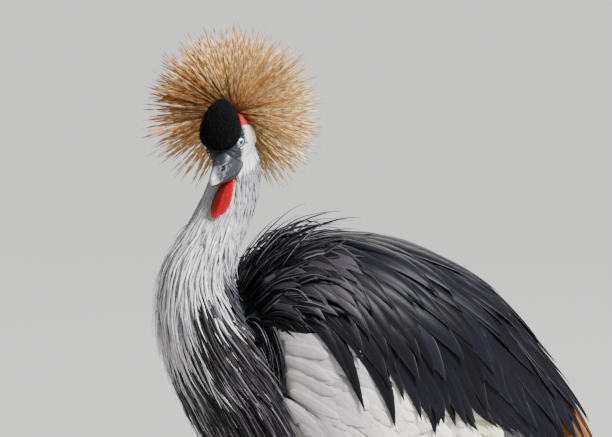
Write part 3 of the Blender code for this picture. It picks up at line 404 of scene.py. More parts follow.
class Finish:
    # a material while its nodes are put together
    def __init__(self, name, roughness, specular=0.4, sheen=0.0, coat=0.0):
        self.made = bpy.data.materials.new(name)
        self.made.use_nodes = True
        self.nodes, self.links = self.made.node_tree.nodes, self.made.node_tree.links
        self.shader = self.nodes["Principled BSDF"]
        self.shader.inputs["Roughness"].default_value = roughness
        self.shader.inputs["Specular IOR Level"].default_value = specular
        self.shader.inputs["Sheen Weight"].default_value = sheen
        self.shader.inputs["Coat Weight"].default_value = coat

    def math(self, operation, first, second=None):
        made = self.nodes.new("ShaderNodeMath")
        made.operation = operation
        for i, value in enumerate((first, second)):
            if isinstance(value, (int, float)):
                made.inputs[i].default_value = value
            elif value is not None:
                self.links.new(value, made.inputs[i])
        return made.outputs[0]

    def noise(self, scale, detail=3.0, stretch=None):
        # noise on the object's own coordinates, drawn out where stretch is given
        coords = self.nodes.new("ShaderNodeTexCoord")
        made = self.nodes.new("ShaderNodeTexNoise")
        made.inputs["Scale"].default_value = scale
        made.inputs["Detail"].default_value = detail
        source = coords.outputs["Object"]
        if stretch:
            mapping = self.nodes.new("ShaderNodeMapping")
            mapping.inputs["Scale"].default_value = stretch
            self.links.new(source, mapping.inputs["Vector"])
            source = mapping.outputs[0]
        self.links.new(source, made.inputs["Vector"])
        return made.outputs["Fac"]

    def tintTimes(self, tone):
        # the mesh's own tint, made lighter and darker by tone
        tint = self.nodes.new("ShaderNodeVertexColor")
        tint.layer_name = "Tint"
        scale = self.nodes.new("ShaderNodeVectorMath")
        scale.operation = "SCALE"
        self.links.new(tint.outputs["Color"], scale.inputs[0])
        self.links.new(tone, scale.inputs["Scale"])
        self.links.new(scale.outputs[0], self.shader.inputs["Base Color"])

    def bump(self, height, strength, distance):
        made = self.nodes.new("ShaderNodeBump")
        made.inputs["Strength"].default_value = strength
        made.inputs["Distance"].default_value = distance
        self.links.new(height, made.inputs["Height"])
        self.links.new(made.outputs[0], self.shader.inputs["Normal"])


barbMake = {"slant": 0.1, "grain": 260, "grainShare": 3.0, "shaftHalf": 0.03, "bump": (0.35, 0.0006)}


def featherMaterial(name, roughness, barb, barbs, rachis, rachisTone, sheen=0.1, specular=0.35):
    # the tint of each feather, with barbs that slant away from its shaft
    finish = Finish(name, roughness, specular, sheen)
    vane = finish.nodes.new("ShaderNodeUVMap")
    vane.uv_map = "Vane"
    split = finish.nodes.new("ShaderNodeSeparateXYZ")
    finish.links.new(vane.outputs[0], split.inputs[0])
    away = finish.math("ABSOLUTE", finish.math("SUBTRACT", split.outputs[0], 0.5))
    slant = finish.math("SUBTRACT", split.outputs[1], finish.math("MULTIPLY", away, barbMake["slant"]))
    wave = finish.math("SINE", finish.math("MULTIPLY", slant, barbs * 6.283))
    grain = finish.math("SUBTRACT", finish.noise(barbMake["grain"]), 0.5)
    grain = finish.math("MULTIPLY", grain, barb * barbMake["grainShare"])
    ridge = finish.math("ADD", finish.math("MULTIPLY", wave, barb * 0.5), grain)
    shaft = finish.math("LESS_THAN", away, barbMake["shaftHalf"])
    lift = finish.math("ADD", finish.math("MULTIPLY", shaft, rachisTone - 1), 1.0)
    finish.tintTimes(finish.math("MULTIPLY", finish.math("ADD", ridge, 1.0), lift))
    finish.bump(finish.math("ADD", ridge, finish.math("MULTIPLY", shaft, rachis)), *barbMake["bump"])
    return finish.made


def tintedMaterial(name, roughness, scale, vary, bump=0.0004, specular=0.4, sheen=0.0, coat=0.0,
                   stretch=None):
    # the mesh's own tint with a fine grain and a bump of its own
    finish = Finish(name, roughness, specular, sheen, coat)
    grain = finish.noise(scale, 4.0, stretch)
    finish.tintTimes(finish.math("ADD", finish.math("MULTIPLY", grain, vary * 2), 1 - vary))
    finish.bump(grain, 0.5, bump)
    return finish.made


tones = {
    "pearl": (0.44, 0.42, 0.45), "pearlLight": (0.88, 0.86, 0.87), "pearlShade": (0.17, 0.16, 0.19),
    "mauve": (0.15, 0.125, 0.14), "white": (0.9, 0.87, 0.82), "navy": (0.02, 0.023, 0.036),
    "slate": (0.005, 0.0046, 0.0062), "blueSlate": (0.0066, 0.0068, 0.0122),
    "deepSlate": (0.0018, 0.0018, 0.0024), "umber": (0.0055, 0.0042, 0.0038),
    "tab": (0.05, 0.045, 0.054), "belly": (0.11, 0.11, 0.125), "cheek": (0.98, 0.965, 0.93),
    "scarlet": (0.56, 0.003, 0.004), "scarletShade": (0.085, 0.002, 0.003), "velvet": (0.0022, 0.0022, 0.0026),
    "lores": (0.029, 0.031, 0.042), "horn": (0.028, 0.03, 0.042), "wearAndHighlight": (0.5, 0.51, 0.53),
    "gold": (1.0, 0.6, 0.16), "straw": (1.0, 0.88, 0.5), "brown": (0.26, 0.115, 0.032),
    "chestnut": (0.105, 0.03, 0.013), "cream": (0.84, 0.79, 0.7), "scale": (0.012, 0.012, 0.014),
    "ice": (0.27, 0.53, 0.68), "lid": (0.016, 0.016, 0.02), "flesh": (0.52, 0.26, 0.22)}
tones = {name: np.array(tone) for name, tone in tones.items()}


# shaping: lofts, modifiers and vertices moved in code

def loft(name, rings):
    # a closed surface over rings of the same number of points, with a fan at each end
    rings = np.asarray(rings)
    count, sides = rings.shape[:2]
    points = np.concatenate([rings.reshape(-1, 3), rings[0].mean(0)[None], rings[-1].mean(0)[None]])
    i, j = np.meshgrid(np.arange(count - 1), np.arange(sides), indexing="ij")
    k = (j + 1) % sides
    here, ahead = i * sides, (i + 1) * sides
    walls = np.stack([here + j, here + k, ahead + k, ahead + j], -1).reshape(-1, 4)
    j, k = j[0], k[0]
    none, first, last = 0 * j, count * sides, (count - 1) * sides
    start = np.stack([none + first, k, j], -1)
    end = np.stack([none + first + 1, last + j, last + k], -1)
    mesh = bpy.data.meshes.new(name)
    mesh.from_pydata(points.tolist(), [], walls.tolist() + start.tolist() + end.tolist())
    return outwards(placed(name, mesh))


def outwards(made):
    work = bmesh.new()
    work.from_mesh(made.data)
    bmesh.ops.remove_doubles(work, verts=work.verts, dist=1e-6)
    bmesh.ops.recalc_face_normals(work, faces=work.faces)
    work.to_mesh(made.data)
    work.free()
    smoothShade(made.data)
    return made


def vertexRows(made, label="co"):
    flat = np.empty(len(made.data.vertices) * 3, np.float32)
    made.data.vertices.foreach_get(label, flat)
    return flat.reshape(-1, 3).astype(float)


def setPlaces(made, places):
    made.data.vertices.foreach_set("co", places.astype(np.float32).ravel())
    made.data.update()


def applyModifier(made, kind, **values):
    bpy.context.view_layer.objects.active = made
    modifier = made.modifiers.new(kind.lower(), kind)
    for label, value in values.items():
        setattr(modifier, label, value)
    bpy.ops.object.modifier_apply(modifier=modifier.name)


def joinAll(name, parts):
    bpy.ops.object.select_all(action="DESELECT")
    for part in parts:
        part.select_set(True)
    bpy.context.view_layer.objects.active = parts[0]
    bpy.ops.object.join()
    parts[0].name = name
    parts[0].data.name = name
    bpy.ops.object.select_all(action="DESELECT")
    return parts[0]


def fuse(name, parts, voxel, rounds):
    # one smoothed surface around parts that overlap
    made = joinAll(name, parts)
    applyModifier(made, "REMESH", mode="VOXEL", voxel_size=voxel, use_smooth_shade=True)
    applyModifier(made, "SMOOTH", factor=0.5, iterations=rounds)
    return made


def ball(name, place, size, segments=48, rings=32, taper=0.0):
    # an egg from a sphere, longest ahead of its place and slimmer there by taper
    bpy.ops.mesh.primitive_uv_sphere_add(segments=segments, ring_count=rings, radius=1.0)
    made = bpy.context.active_object
    made.name = name
    made.data.name = name
    x, y, z = vertexRows(made).T
    setPlaces(made, place.at(z * size[0], x * size[1] * (1 - taper * z), y * size[2]))
    made.select_set(False)
    return outwards(made)


def edgeDistance(x, y, outline):
    # how far points are inside an outline, and negative outside it
    away, inside = np.full(np.shape(x), 9.0), np.zeros(np.shape(x), bool)
    for (ax, ay), (bx, by) in zip(outline, outline[1:] + outline[:1]):
        run = max((bx - ax) ** 2 + (by - ay) ** 2, 1e-12)
        t = np.clip(((x - ax) * (bx - ax) + (y - ay) * (by - ay)) / run, 0, 1)
        away = np.minimum(away, np.hypot(x - ax - t * (bx - ax), y - ay - t * (by - ay)))
        crosses = (ay > y) != (by > y)
        reach = ax + (y - ay) * (bx - ax) / (by - ay if by != ay else 1e-12)
        inside ^= crosses & (x < reach)
    return np.where(inside, away, -away)


# the markings of head and neck, in the head's own directions ahead and up

marks = {
    "cheek": [(-0.018, 0.0047), (-0.003, 0.0138), (0.009, 0.0041), (0.0176, -0.0057), (0.021, -0.0148),
              (0.0218, -0.0274), (0.0293, -0.0353), (0.0244, -0.0375), (0.016, -0.0405), (-0.0014, -0.0395),
              (-0.0155, -0.0335), (-0.024, -0.012)],
    "scarlet": [(-0.003, 0.0138), (-0.018, 0.0047), (-0.03, 0.011), (-0.031, 0.02), (-0.02, 0.032),
                (0.002, 0.03), (0.004, 0.019)],
    "lores": [(0.003, 0.017), (0.001, 0.0125), (0.0098, 0.0041), (0.0176, -0.0057), (0.021, -0.0148),
              (0.0218, -0.0274), (0.0293, -0.0353), (0.06, -0.0353), (0.06, 0.04), (0.01, 0.04)],
    "soft": 0.0005, "median": 0.0045}


def neckTone(along, angle):
    # pale grey in front and at the sides, darker at the nape, with painted shade all round the top of the
    # neck under the head, navy behind the lower neck
    around = fromBack(angle)
    nape = ease(1.15, 0.3, around) * ease(0.01, 0.07, along) * 0.3
    # painted shade all round the top of the neck, under the head
    underHeadShade = ease(0.095, 0.035, along) * 0.55
    tone = mix(tones["pearl"], tones["pearlShade"], np.maximum(nape, underHeadShade))
    return mix(tone, tones["navy"], ease(1.35, 1.05, around) * ease(0.125, 0.175, along))


def headTone(points, under):
    # the tone under the marks, and over it white cheeks, scarlet behind them and slate before the eyes
    ahead, left, up = headAt.local(points)
    side = np.abs(left)
    tone = mix(under, tones["brown"] * 0.5, ease(-0.014, -0.022, ahead) * ease(-0.012, -0.004, up))
    # a painted shadow under the bill, in a band between the lower bill and the throat
    underBillShadow = ease(0.012, 0.006, side) * ease(0.004, 0.012, ahead) * ease(-0.02, -0.026, up)
    tone = mix(tone, tones["deepSlate"], underBillShadow * ease(-0.044, -0.038, up))
    wide = ease(marks["median"], marks["median"] + 0.002, side)
    for name, share in (("lores", 1.0), ("scarlet", wide), ("cheek", wide)):
        inside = edgeDistance(ahead, up, marks[name])
        tone = mix(tone, tones[name], ease(-marks["soft"], marks["soft"], inside) * share)
    blotch = ease(0.35, 1.3, ripple(points, 420, 8))
    blotch = blotch * ease(-0.001, 0.001, edgeDistance(ahead, up, marks["lores"]))
    tone = mix(tone, tones["wearAndHighlight"] * 0.4, blotch * ease(0.018, 0.026, ahead) * 0.6)
    for way in (1, -1):                                             # a dark ring round each eye
        depth, far = eyeReach(points, eyePlace(way))
        tone = mix(tone, tones["lid"], ease(0.0093, 0.0085, far) * (depth > 0))
    return tone


# the skin: one closed surface inside the coat, for torso, neck, head and thighs

skinMake = {"voxel": 0.0031, "torsoCoat": 0.005, "neckCoat": 0.0016, "headCoat": 0.0004, "smooth": 5,
            "headFiner": 3, "finerReach": 0.043, "softReach": 0.046, "headSmooth": 6}
thighLine = ((0.052, -0.01, 0.47), (0.05, 0.052, 0.212))
thighStations = (   # share of the way to the hock, half width, half depth
    (0.0, 0.034, 0.048), (0.25, 0.03, 0.044), (0.45, 0.022, 0.03), (0.6, 0.012, 0.014),
    (0.7, 0.0085, 0.009))
thighCurve = Curve([row[0] for row in thighStations], [row[1:] for row in thighStations])
eyeMake = {"at": (0.012, 0.018, 0.0035), "radius": 0.0086, "forward": 33, "pupil": 16.5, "iris": 38.0,
           "openLevel": 41.0, "openUpright": 37.0, "socket": (66, 54), "sunk": 0.0012}


def eyePlace(side):
    outward = headAt.left * side
    forward = math.radians(eyeMake["forward"])
    centre = headAt.at(eyeMake["at"][0], side * eyeMake["at"][1], eyeMake["at"][2])
    look, across = turned(outward, headAt.ahead, forward), turned(headAt.ahead, -outward, forward)
    return Place(centre, look, across, headAt.up)


def eyeReach(points, eye):
    # how far points lie ahead of an eye's centre, and aside of its line of sight
    away = points - eye.origin
    depth = away @ eye.ahead
    return depth, np.linalg.norm(away - depth[:, None] * eye.ahead, axis=1)


def bodyRings(shape, start, end, steps, sides, height):
    along = start + (end - start) * (0.5 - 0.5 * np.cos(np.linspace(0.02, np.pi - 0.02, steps)))
    return shape.point(along[:, None], fullTurn(sides)[None], height)


def headRings(height, steps, sides):
    ahead = between(headStations[[0, -1], 0], 0.5 - 0.5 * np.cos(np.linspace(0.05, np.pi - 0.05, steps)))
    return headPoint(ahead[:, None], fullTurn(sides)[None], height)


def thighRings(side, steps, sides):
    hip, hock = (np.array(p) * (side, 1, 1) for p in thighLine)
    run = unit(hock - hip)
    share = np.linspace(0, thighStations[-1][0], steps)
    width, depth = np.moveaxis(thighCurve(share), -1, 0)[..., None]
    angle = fullTurn(sides)[None]
    across = unit(np.cross(sideways, run))
    centre = (hip + run * (share * np.linalg.norm(hock - hip))[:, None])[:, None]
    wide, deep = np.cos(angle) * width, np.sin(angle) * depth
    return centre + sideways * wide[..., None] + across * deep[..., None]


def refineHead(made):
    # smaller faces on the head, then hollows for the eyes
    work = bmesh.new()
    work.from_mesh(made.data)
    centre = Vector(headAt.origin)
    reach = skinMake["finerReach"]
    near = [e for e in work.edges if all((v.co - centre).length < reach for v in e.verts)]
    bmesh.ops.subdivide_edges(work, edges=near, cuts=skinMake["headFiner"], use_grid_fill=True)
    bmesh.ops.triangulate(work, faces=[f for f in work.faces if len(f.verts) > 4])
    near = [v for v in work.verts if (v.co - centre).length < skinMake["softReach"]]
    for _ in range(skinMake["headSmooth"]):
        bmesh.ops.smooth_vert(work, verts=near, factor=0.5,
                              use_axis_x=True, use_axis_y=True, use_axis_z=True)
    work.to_mesh(made.data)
    work.free()
    places = vertexRows(made)
    for side in (1, -1):
        eye = eyePlace(side)
        away = places - eye.origin
        reach = np.linalg.norm(away, axis=1)
        polar = np.degrees(np.arccos(np.clip((away @ eye.ahead) / np.maximum(reach, 1e-9), -1, 1)))
        hollow = ease(*eyeMake["socket"], polar) * (reach < 0.02)
        target = reach + (np.minimum(reach, eyeMake["radius"] - eyeMake["sunk"]) - reach) * hollow
        places = eye.origin + away * (target / np.maximum(reach, 1e-9))[:, None]
    setPlaces(made, places)


def makeSkin():
    torsoRings = bodyRings(torsoShape, 0.0, torsoShape.length, 60, 56, -skinMake["torsoCoat"])
    neckRings = bodyRings(neckShape, 0.012, neckShape.length, 70, 40, -skinMake["neckCoat"])
    parts = [loft("skin", torsoRings), loft("neckSkin", neckRings)]
    parts.append(loft("headSkin", headRings(-skinMake["headCoat"], 60, 60)))
    parts += [loft("thighSkin", thighRings(side, 24, 28)) for side in (1, -1)]
    made = fuse("skin", parts, skinMake["voxel"], skinMake["smooth"])
    refineHead(made)
    smoothShade(made.data)
    return made


def skinTone(points):
    along = np.linspace(0, neckShape.length, 90)
    centre, back = neckShape.axis(along)
    nearest = ((points[:, None, 1:] - centre[None, :, 1:]) ** 2).sum(-1).argmin(1)
    away = points - centre[nearest]
    angle = np.arctan2(away[:, 0], (away * back[nearest]).sum(1))
    onNeck = ease(0.335, 0.3, along[nearest]) * (np.linalg.norm(away, axis=1) < 0.07)
    tone = mix(tones["belly"], neckTone(along[nearest], angle) * 1.2, onNeck)
    tone = mix(tone, tones["slate"], (1 - onNeck) * ease(-0.02, -0.1, points[:, 1]))
    near = np.linalg.norm(points - headAt.origin, axis=1)
    return mix(tone, headTone(points, tone), ease(0.056, 0.052, near))


skin = makeSkin()
setTint(skin.data, skinTone(vertexRows(skin)))
skinFinish = tintedMaterial("featheredSkin", 0.85, 900, 0.18, 0.0006, 0.15, 0.15)
skinNodes = ("torso", "neck_lower", "neck_upper", "head", "thigh_left", "thigh_right")
settle(skin, skinFinish, skinNodes)


# the eyes: an ice-blue iris round a small pupil on one wet ball, in a ring of dark lids

eyeFinish = tintedMaterial("wetEye", 0.05, 1400, 0.1, 0.00001, 0.6, 0.0, 1.0)
lidFinish = tintedMaterial("lidSkin", 0.45, 1500, 0.25, 0.0003, 0.4)


def makeEye(word, side):
    eye = eyePlace(side)
    bpy.ops.mesh.primitive_uv_sphere_add(segments=96, ring_count=90, radius=1.0)
    made = bpy.context.active_object
    made.name = "eye_ball_" + word
    x, y, z = vertexRows(made).T
    polar, around = np.degrees(np.arccos(np.clip(z, -1, 1))), np.arctan2(y, x)
    reach = eyeMake["radius"] * (1 + 0.05 * ease(44, 18, polar))
    setPlaces(made, eye.at(z * reach, x * reach, y * reach))
    streak = 0.5 + 0.5 * ripple(np.stack([np.cos(around) * 9, np.sin(around) * 9, polar * 0.02], 1), 1.6, 5)
    tint = mix(tones["ice"], tones["ice"] * 1.35, streak)
    tint = mix(tint, tones["ice"] * 0.45, ease(31, eyeMake["iris"], polar) * 0.8)
    tint = mix(tint, tones["ice"] * 0.6, ease(17, eyeMake["pupil"], polar) * 0.6)
    tint = mix(tint, tones["deepSlate"] * 0.5, ease(eyeMake["iris"] - 0.6, eyeMake["iris"] + 1.2, polar))
    tint = mix(tint, tones["deepSlate"] * 0.2, ease(eyeMake["pupil"] + 0.8, eyeMake["pupil"] - 0.8, polar))
    setTint(made.data, tint)
    made.select_set(False)
    outwards(made)
    settle(made, eyeFinish, ("eye_" + word,))


lidProfile = (   # degrees past the opening and height over the eyeball, round the section of a lid
    (1.0, -0.0004), (-0.4, 0.0001), (0.6, 0.0006), (4.0, 0.001), (9.0, 0.00115), (15.0, 0.0009),
    (19.0, 0.0011), (25.0, 0.0007), (32.0, -0.0006), (20.0, -0.0016))


def makeLids(word, side):
    eye = eyePlace(side)
    around = fullTurn(80)
    opening = np.where(np.sin(around) > 0, eyeMake["openUpright"] - 1.5, eyeMake["openUpright"])
    opening = eyeMake["openLevel"] + (opening - eyeMake["openLevel"]) * np.abs(np.sin(around)) ** 1.5
    rings = []
    for past, height in lidProfile:
        polar = np.radians(opening + past)
        reach = eyeMake["radius"] + height + 0.00012 * np.sin(around * 13 + past)
        flat = np.sin(polar)
        aside, above = flat * np.cos(around) * reach, flat * np.sin(around) * reach
        rings.append(eye.at(np.cos(polar) * reach, aside, above))
    rings = np.array(rings)
    count, sides = rings.shape[:2]
    i, j = np.meshgrid(np.arange(count), np.arange(sides), indexing="ij")
    corners = [((i + a) % count) * sides + (j + b) % sides for a, b in ((0, 0), (0, 1), (1, 1), (1, 0))]
    made = arrayMesh("eye_lids_" + word, rings.reshape(-1, 3), np.stack(corners, -1).reshape(-1, 4))
    outwards(made)
    applyModifier(made, "SUBSURF", levels=1, render_levels=1)
    _, x, y = eye.local(vertexRows(made))
    corner = ease(0.004, 0.0018, np.hypot(x - 0.0052, y + 0.0048))
    setTint(made.data, mix(tones["lid"], tones["flesh"], corner * 0.8))
    settle(made, lidFinish)


for word, side in (("left", 1), ("right", -1)):
    makeEye(word, side)
    makeLids(word, side)


# the bill: slate horn with a painted highlight along its ridge, paler towards the tip and in random
# blotches, with a slit nostril in a shallow groove painted dark as shade

# ahead, half width, rise of the upper half, fall of the lower half, level of the mouth
billStations = np.array((
    (0.018, 0.0166, 0.033, 0.0085, -0.0265), (0.03, 0.016, 0.0288, 0.0085, -0.027),
    (0.04, 0.015, 0.0242, 0.0078, -0.0258), (0.05, 0.0128, 0.02, 0.0062, -0.0228),
    (0.059, 0.01, 0.0167, 0.005, -0.0192), (0.067, 0.0076, 0.0145, 0.004, -0.0163),
    (0.0735, 0.0052, 0.0108, 0.0029, -0.0138), (0.078, 0.0028, 0.006, 0.0016, -0.0122),
    (0.0798, 0.0006, 0.0012, 0.0004, -0.0114)))
billCurve = Curve(billStations[:, 0], billStations[:, 1:])
billMake = {"groove": 0.001, "grooveTall": 0.003, "nostril": (0.052, -0.0072),
            "nostrilSize": (0.0044, 0.002), "nostrilDeep": 0.004, "rough": 0.00018, "parting": 0.0002,
            "floorArch": 0.001, "from": 0.016, "upperEnd": 0.0798, "lowerEnd": 0.0788}


def billHalf(name, way, end):
    ahead = between((billMake["from"], end), np.sin(np.linspace(0, np.pi / 2, 120)) ** 0.9)
    half, rise, fall, level = np.moveaxis(billCurve(ahead), -1, 0)[..., None]
    angle = np.linspace(-np.pi / 2, np.pi / 2, 79)[None]
    boxy = 0.8 + 0.2 * ease(0.045, 0.075, ahead)[:, None]
    tall = rise if way > 0 else fall
    left = half * np.sign(np.sin(angle)) * np.abs(np.sin(angle)) ** boxy
    up = level + way * (billMake["parting"] + tall * np.maximum(np.cos(angle), 0) ** boxy)
    floor = np.linspace(1, -1, 15)[None, 1:-1]
    under = level + way * (billMake["parting"] + billMake["floorArch"] * (1 - floor ** 2))
    left = np.concatenate([left, half * floor], 1)
    up = np.concatenate([up, under], 1)
    along = np.broadcast_to(ahead[:, None], left.shape)
    return loft(name, headAt.at(along, left, up))


def carveBill(made):
    places = vertexRows(made)
    ahead, left, up = headAt.local(places)
    middle = np.interp(ahead, (0.026, 0.052, 0.068), (-0.0135, -0.0085, -0.008))
    groove = np.exp(-((up - middle) / billMake["grooveTall"]) ** 2)
    groove = groove * ease(0.024, 0.036, ahead) * ease(0.07, 0.058, ahead)
    spot, size = billMake["nostril"], billMake["nostrilSize"]
    slit = np.exp(-(((ahead - spot[0]) / size[0]) ** 2 + ((up - spot[1]) / size[1]) ** 2) ** 2)
    outer = ease(0.004, 0.006, np.abs(left))
    depth = (billMake["groove"] * groove + billMake["nostrilDeep"] * slit) * outer
    depth = depth + billMake["rough"] * ripple(places, 900, 3) * ease(0.003, 0.005, np.abs(left))
    setPlaces(made, places - headAt.left * (np.sign(left) * depth)[:, None])
    return ahead, left, up, slit * outer, groove * outer


def billTone(places, ahead, left, up, slit, groove):
    blotch = ripple(places, 420, 8) + 0.5 * ripple(places, 1300, 9)
    fleck = np.clip(blotch, -1, 1)
    stain = ease(0.35, 1.45, blotch + 0.5 * groove) * ease(0.034, 0.046, ahead) * 0.6
    tone = mix(tones["horn"] * 0.85, tones["wearAndHighlight"] * 0.55, stain)
    # a painted highlight along the top of the ridge, where the light falls, mottled at random
    ridge = ease(0.005, 0.0012, np.abs(left)) * ease(0.046, 0.062, ahead) * ease(-0.02, -0.014, up)
    tone = mix(tone, tones["wearAndHighlight"], ridge * (0.55 + 0.3 * fleck))
    tone = mix(tone, tones["wearAndHighlight"] * 1.15, ease(0.066, 0.077, ahead) * (0.65 + 0.2 * fleck))
    # the nostril's dent is painted near black: painted shade inside it
    tone = mix(tone, tones["deepSlate"], ease(0.12, 0.45, slit))
    return mix(tone, tones["lores"], ease(0.04, 0.026, ahead) * 0.9)


billFinish = tintedMaterial("slateHorn", 0.38, 700, 0.22, 0.0003, 0.5, 0.0, 0.15, (1.0, 1.0, 2.2))
upperBill = billHalf("upper_bill", 1, billMake["upperEnd"])
carved = carveBill(upperBill)
setTint(upperBill.data, billTone(vertexRows(upperBill), *carved))
settle(upperBill, billFinish, ("bill_upper",))
lowerBill = billHalf("lower_bill", -1, billMake["lowerEnd"])
# the lower bill is painted darker than the upper, as shade under the upper bill, and mottled grey at random
grey = 0.5 + 0.5 * ripple(vertexRows(lowerBill), 500, 12)
setTint(lowerBill.data, mix(tones["horn"] * 0.35, tones["horn"], grey * 0.5))
settle(lowerBill, billFinish, ("bill_lower",))


# the velvet cap: an egg over the forehead, in dense short plush

capMake = {"at": (0.005, 0.0015, 0.0245), "pitch": 147, "size": (0.0335, 0.0262, 0.0205), "taper": 0.3,
           "ground": 0.0012, "uneven": 0.0007, "tufts": 3000, "length": 0.0036, "stand": 0.0016,
           "halfWidth": 0.00048, "seed": 31}
groundFinish = tintedMaterial("velvetGround", 0.95, 1500, 0.3, 0.0008, 0.05)
plushFinish = featherMaterial("velvetPlush", 0.9, 0.2, 12, 0.1, 1.0, 0.05, 0.1)
capPlace = headAt.pitched(capMake["at"], math.radians(capMake["pitch"]))


def makeCap():
    size = [s - capMake["ground"] for s in capMake["size"]]
    form = ball("cap_form", capPlace, size, 64, 48, capMake["taper"])
    places = vertexRows(form)
    swell = capMake["uneven"] * ripple(places, 420, 21)
    setPlaces(form, places + vertexRows(form, "normal") * swell[:, None])
    setTint(form.data, tones["velvet"])
    settle(form, groundFinish, ("cap",))
    draw = np.random.default_rng(capMake["seed"])
    count = capMake["tufts"]
    z = 1 - 2 * (np.arange(count) + 0.5) / count
    around = goldenTurn(np.arange(count)) + draw.normal(0, 0.02, count)

    def onCap(z, around, grow):
        flat = np.sqrt(np.clip(1 - z * z, 0, 1))
        x, y = np.cos(around) * flat, np.sin(around) * flat
        long, wide, tall = (s + grow for s in size)
        return capPlace.at(z * long, x * wide * (1 - capMake["taper"] * z), y * tall)

    steps = np.linspace(0, 1, 4)
    stand = capMake["stand"] * draw.uniform(0.6, 1.5, count)[:, None]
    slide = capMake["length"] * draw.uniform(0.7, 1.2, count)[:, None] / size[0]
    drift = draw.normal(0, 0.12, count)[:, None]
    here = np.clip(z[:, None] + slide * steps, -1, 0.999)
    line = onCap(here, around[:, None] + drift * steps, -0.0006 + stand * steps ** 0.7)
    normal = unit(line - capPlace.origin)
    half = widths(capMake["halfWidth"], lanceShape(steps, 0.8, 0.3, 0.12), draw, 0.7, 1.4, count)
    tint = tones["velvet"] * draw.uniform(0.4, 2.0, (count, 1, 1, 1))
    plumage = Plumage().add(line, normal, half, tint, roundPatch(around, 0.5 + 0.5 * z), fine, 0.2, 0.0003)
    plumage.build("cap_plush", plushFinish, "velvet_cap")


makeCap()


# the wattle: two soft lobes that hang from the chin with a crease between them

wattleMake = {"at": (0.04, 0.0038, -0.032), "down": (0.0, -0.4, -1.0), "length": 0.057, "width": 0.019,
              "thick": 0.004, "lobe": 0.67, "top": 0.45, "sunk": 0.12, "part": 0.16, "face": 0.35,
              "unlike": 0.06, "voxel": 0.0007, "smooth": 7, "wrinkle": 0.0004}
wattleFinish = tintedMaterial("wattleSkin", 0.36, 1100, 0.12, 0.0004, 0.5, 0.0, 0.1)


def makeWattle():
    root = headAt.at(*wattleMake["at"])
    down = unit(np.array(wattleMake["down"]))
    front = unit(np.cross(down, headAt.left))
    across = np.cross(front, down)
    lobes = []
    for lobe in (-1, 1):
        share = 0.5 - 0.5 * np.cos(np.linspace(0.04, np.pi - 0.04, 40))
        swell = np.sin(np.pi * share) ** 0.5 * (wattleMake["top"] + (1 - wattleMake["top"]) * share)
        reach = wattleMake["length"] * (share - wattleMake["sunk"]) * (1 - wattleMake["unlike"] * lobe)
        middle = root + across * lobe * wattleMake["width"] * wattleMake["part"]
        facing = Place(middle, down, across, unit(front + across * wattleMake["face"] * lobe))
        angle = fullTurn(48)[None]
        width = (wattleMake["width"] * swell * wattleMake["lobe"])[:, None]
        deep = (wattleMake["thick"] * swell)[:, None]
        hollow = 0.35 * deep * (1 - np.sin(angle) ** 2) * ease(0.3, 0.7, share)[:, None]
        out = np.cos(angle) * deep - hollow * (np.cos(angle) > 0)
        lobes.append(loft("lobe", facing.at(reach[:, None], np.sin(angle) * width, out)))
    made = fuse("wattle_folds", lobes, wattleMake["voxel"], wattleMake["smooth"])
    places = vertexRows(made)
    fall, wide = (places - root) @ down, (places - root) @ across
    wrinkle = np.abs(ripple(np.stack([wide * 2.6, fall * 0.8, places[:, 1]], 1), 620, 41))
    sunk = wattleMake["wrinkle"] * wrinkle * (1 - 0.5 * ease(0.03, 0.046, fall))
    setPlaces(made, places - vertexRows(made, "normal") * sunk[:, None])
    # darker red along the wrinkle lines, as painted shade in the creases
    tone = mix(tones["scarlet"], tones["scarletShade"], ease(0.5, 0.0, wrinkle) * 0.35)
    # the lobe on the bird's right, away from the key light, is painted dark red as shade
    tone = mix(tone, tones["scarletShade"], ease(0.001, -0.003, wide) * ease(0.052, 0.04, fall) * 0.92)
    stain = ease(0.01, 0.002, fall) * ease(0.2, 0.9, ripple(places, 500, 44))
    tone = mix(tone, tones["lores"], stain * 0.8)
    setTint(made.data, tone)
    settle(made, wattleFinish, ("wattle",))


makeWattle()


# the face's short feathers: white cheeks, slate before the eyes, laid back and down

faceMake = {"from": -0.031, "to": 0.029, "spacing": 0.0019, "length": 0.0038, "halfWidth": 0.00066,
            "rise": 0.0007, "sunk": 0.0006, "lidReach": 0.0084, "seed": 17}
faceFinish = featherMaterial("faceVelvet", 0.8, 0.1, 10, 0.1, 1.0, 0.25, 0.15)


def outsideHead(points, grow=1.0):
    ahead, left, up = headAt.local(points)
    return (ahead / 0.038) ** 2 + (left / 0.031) ** 2 + (up / 0.034) ** 2 > grow


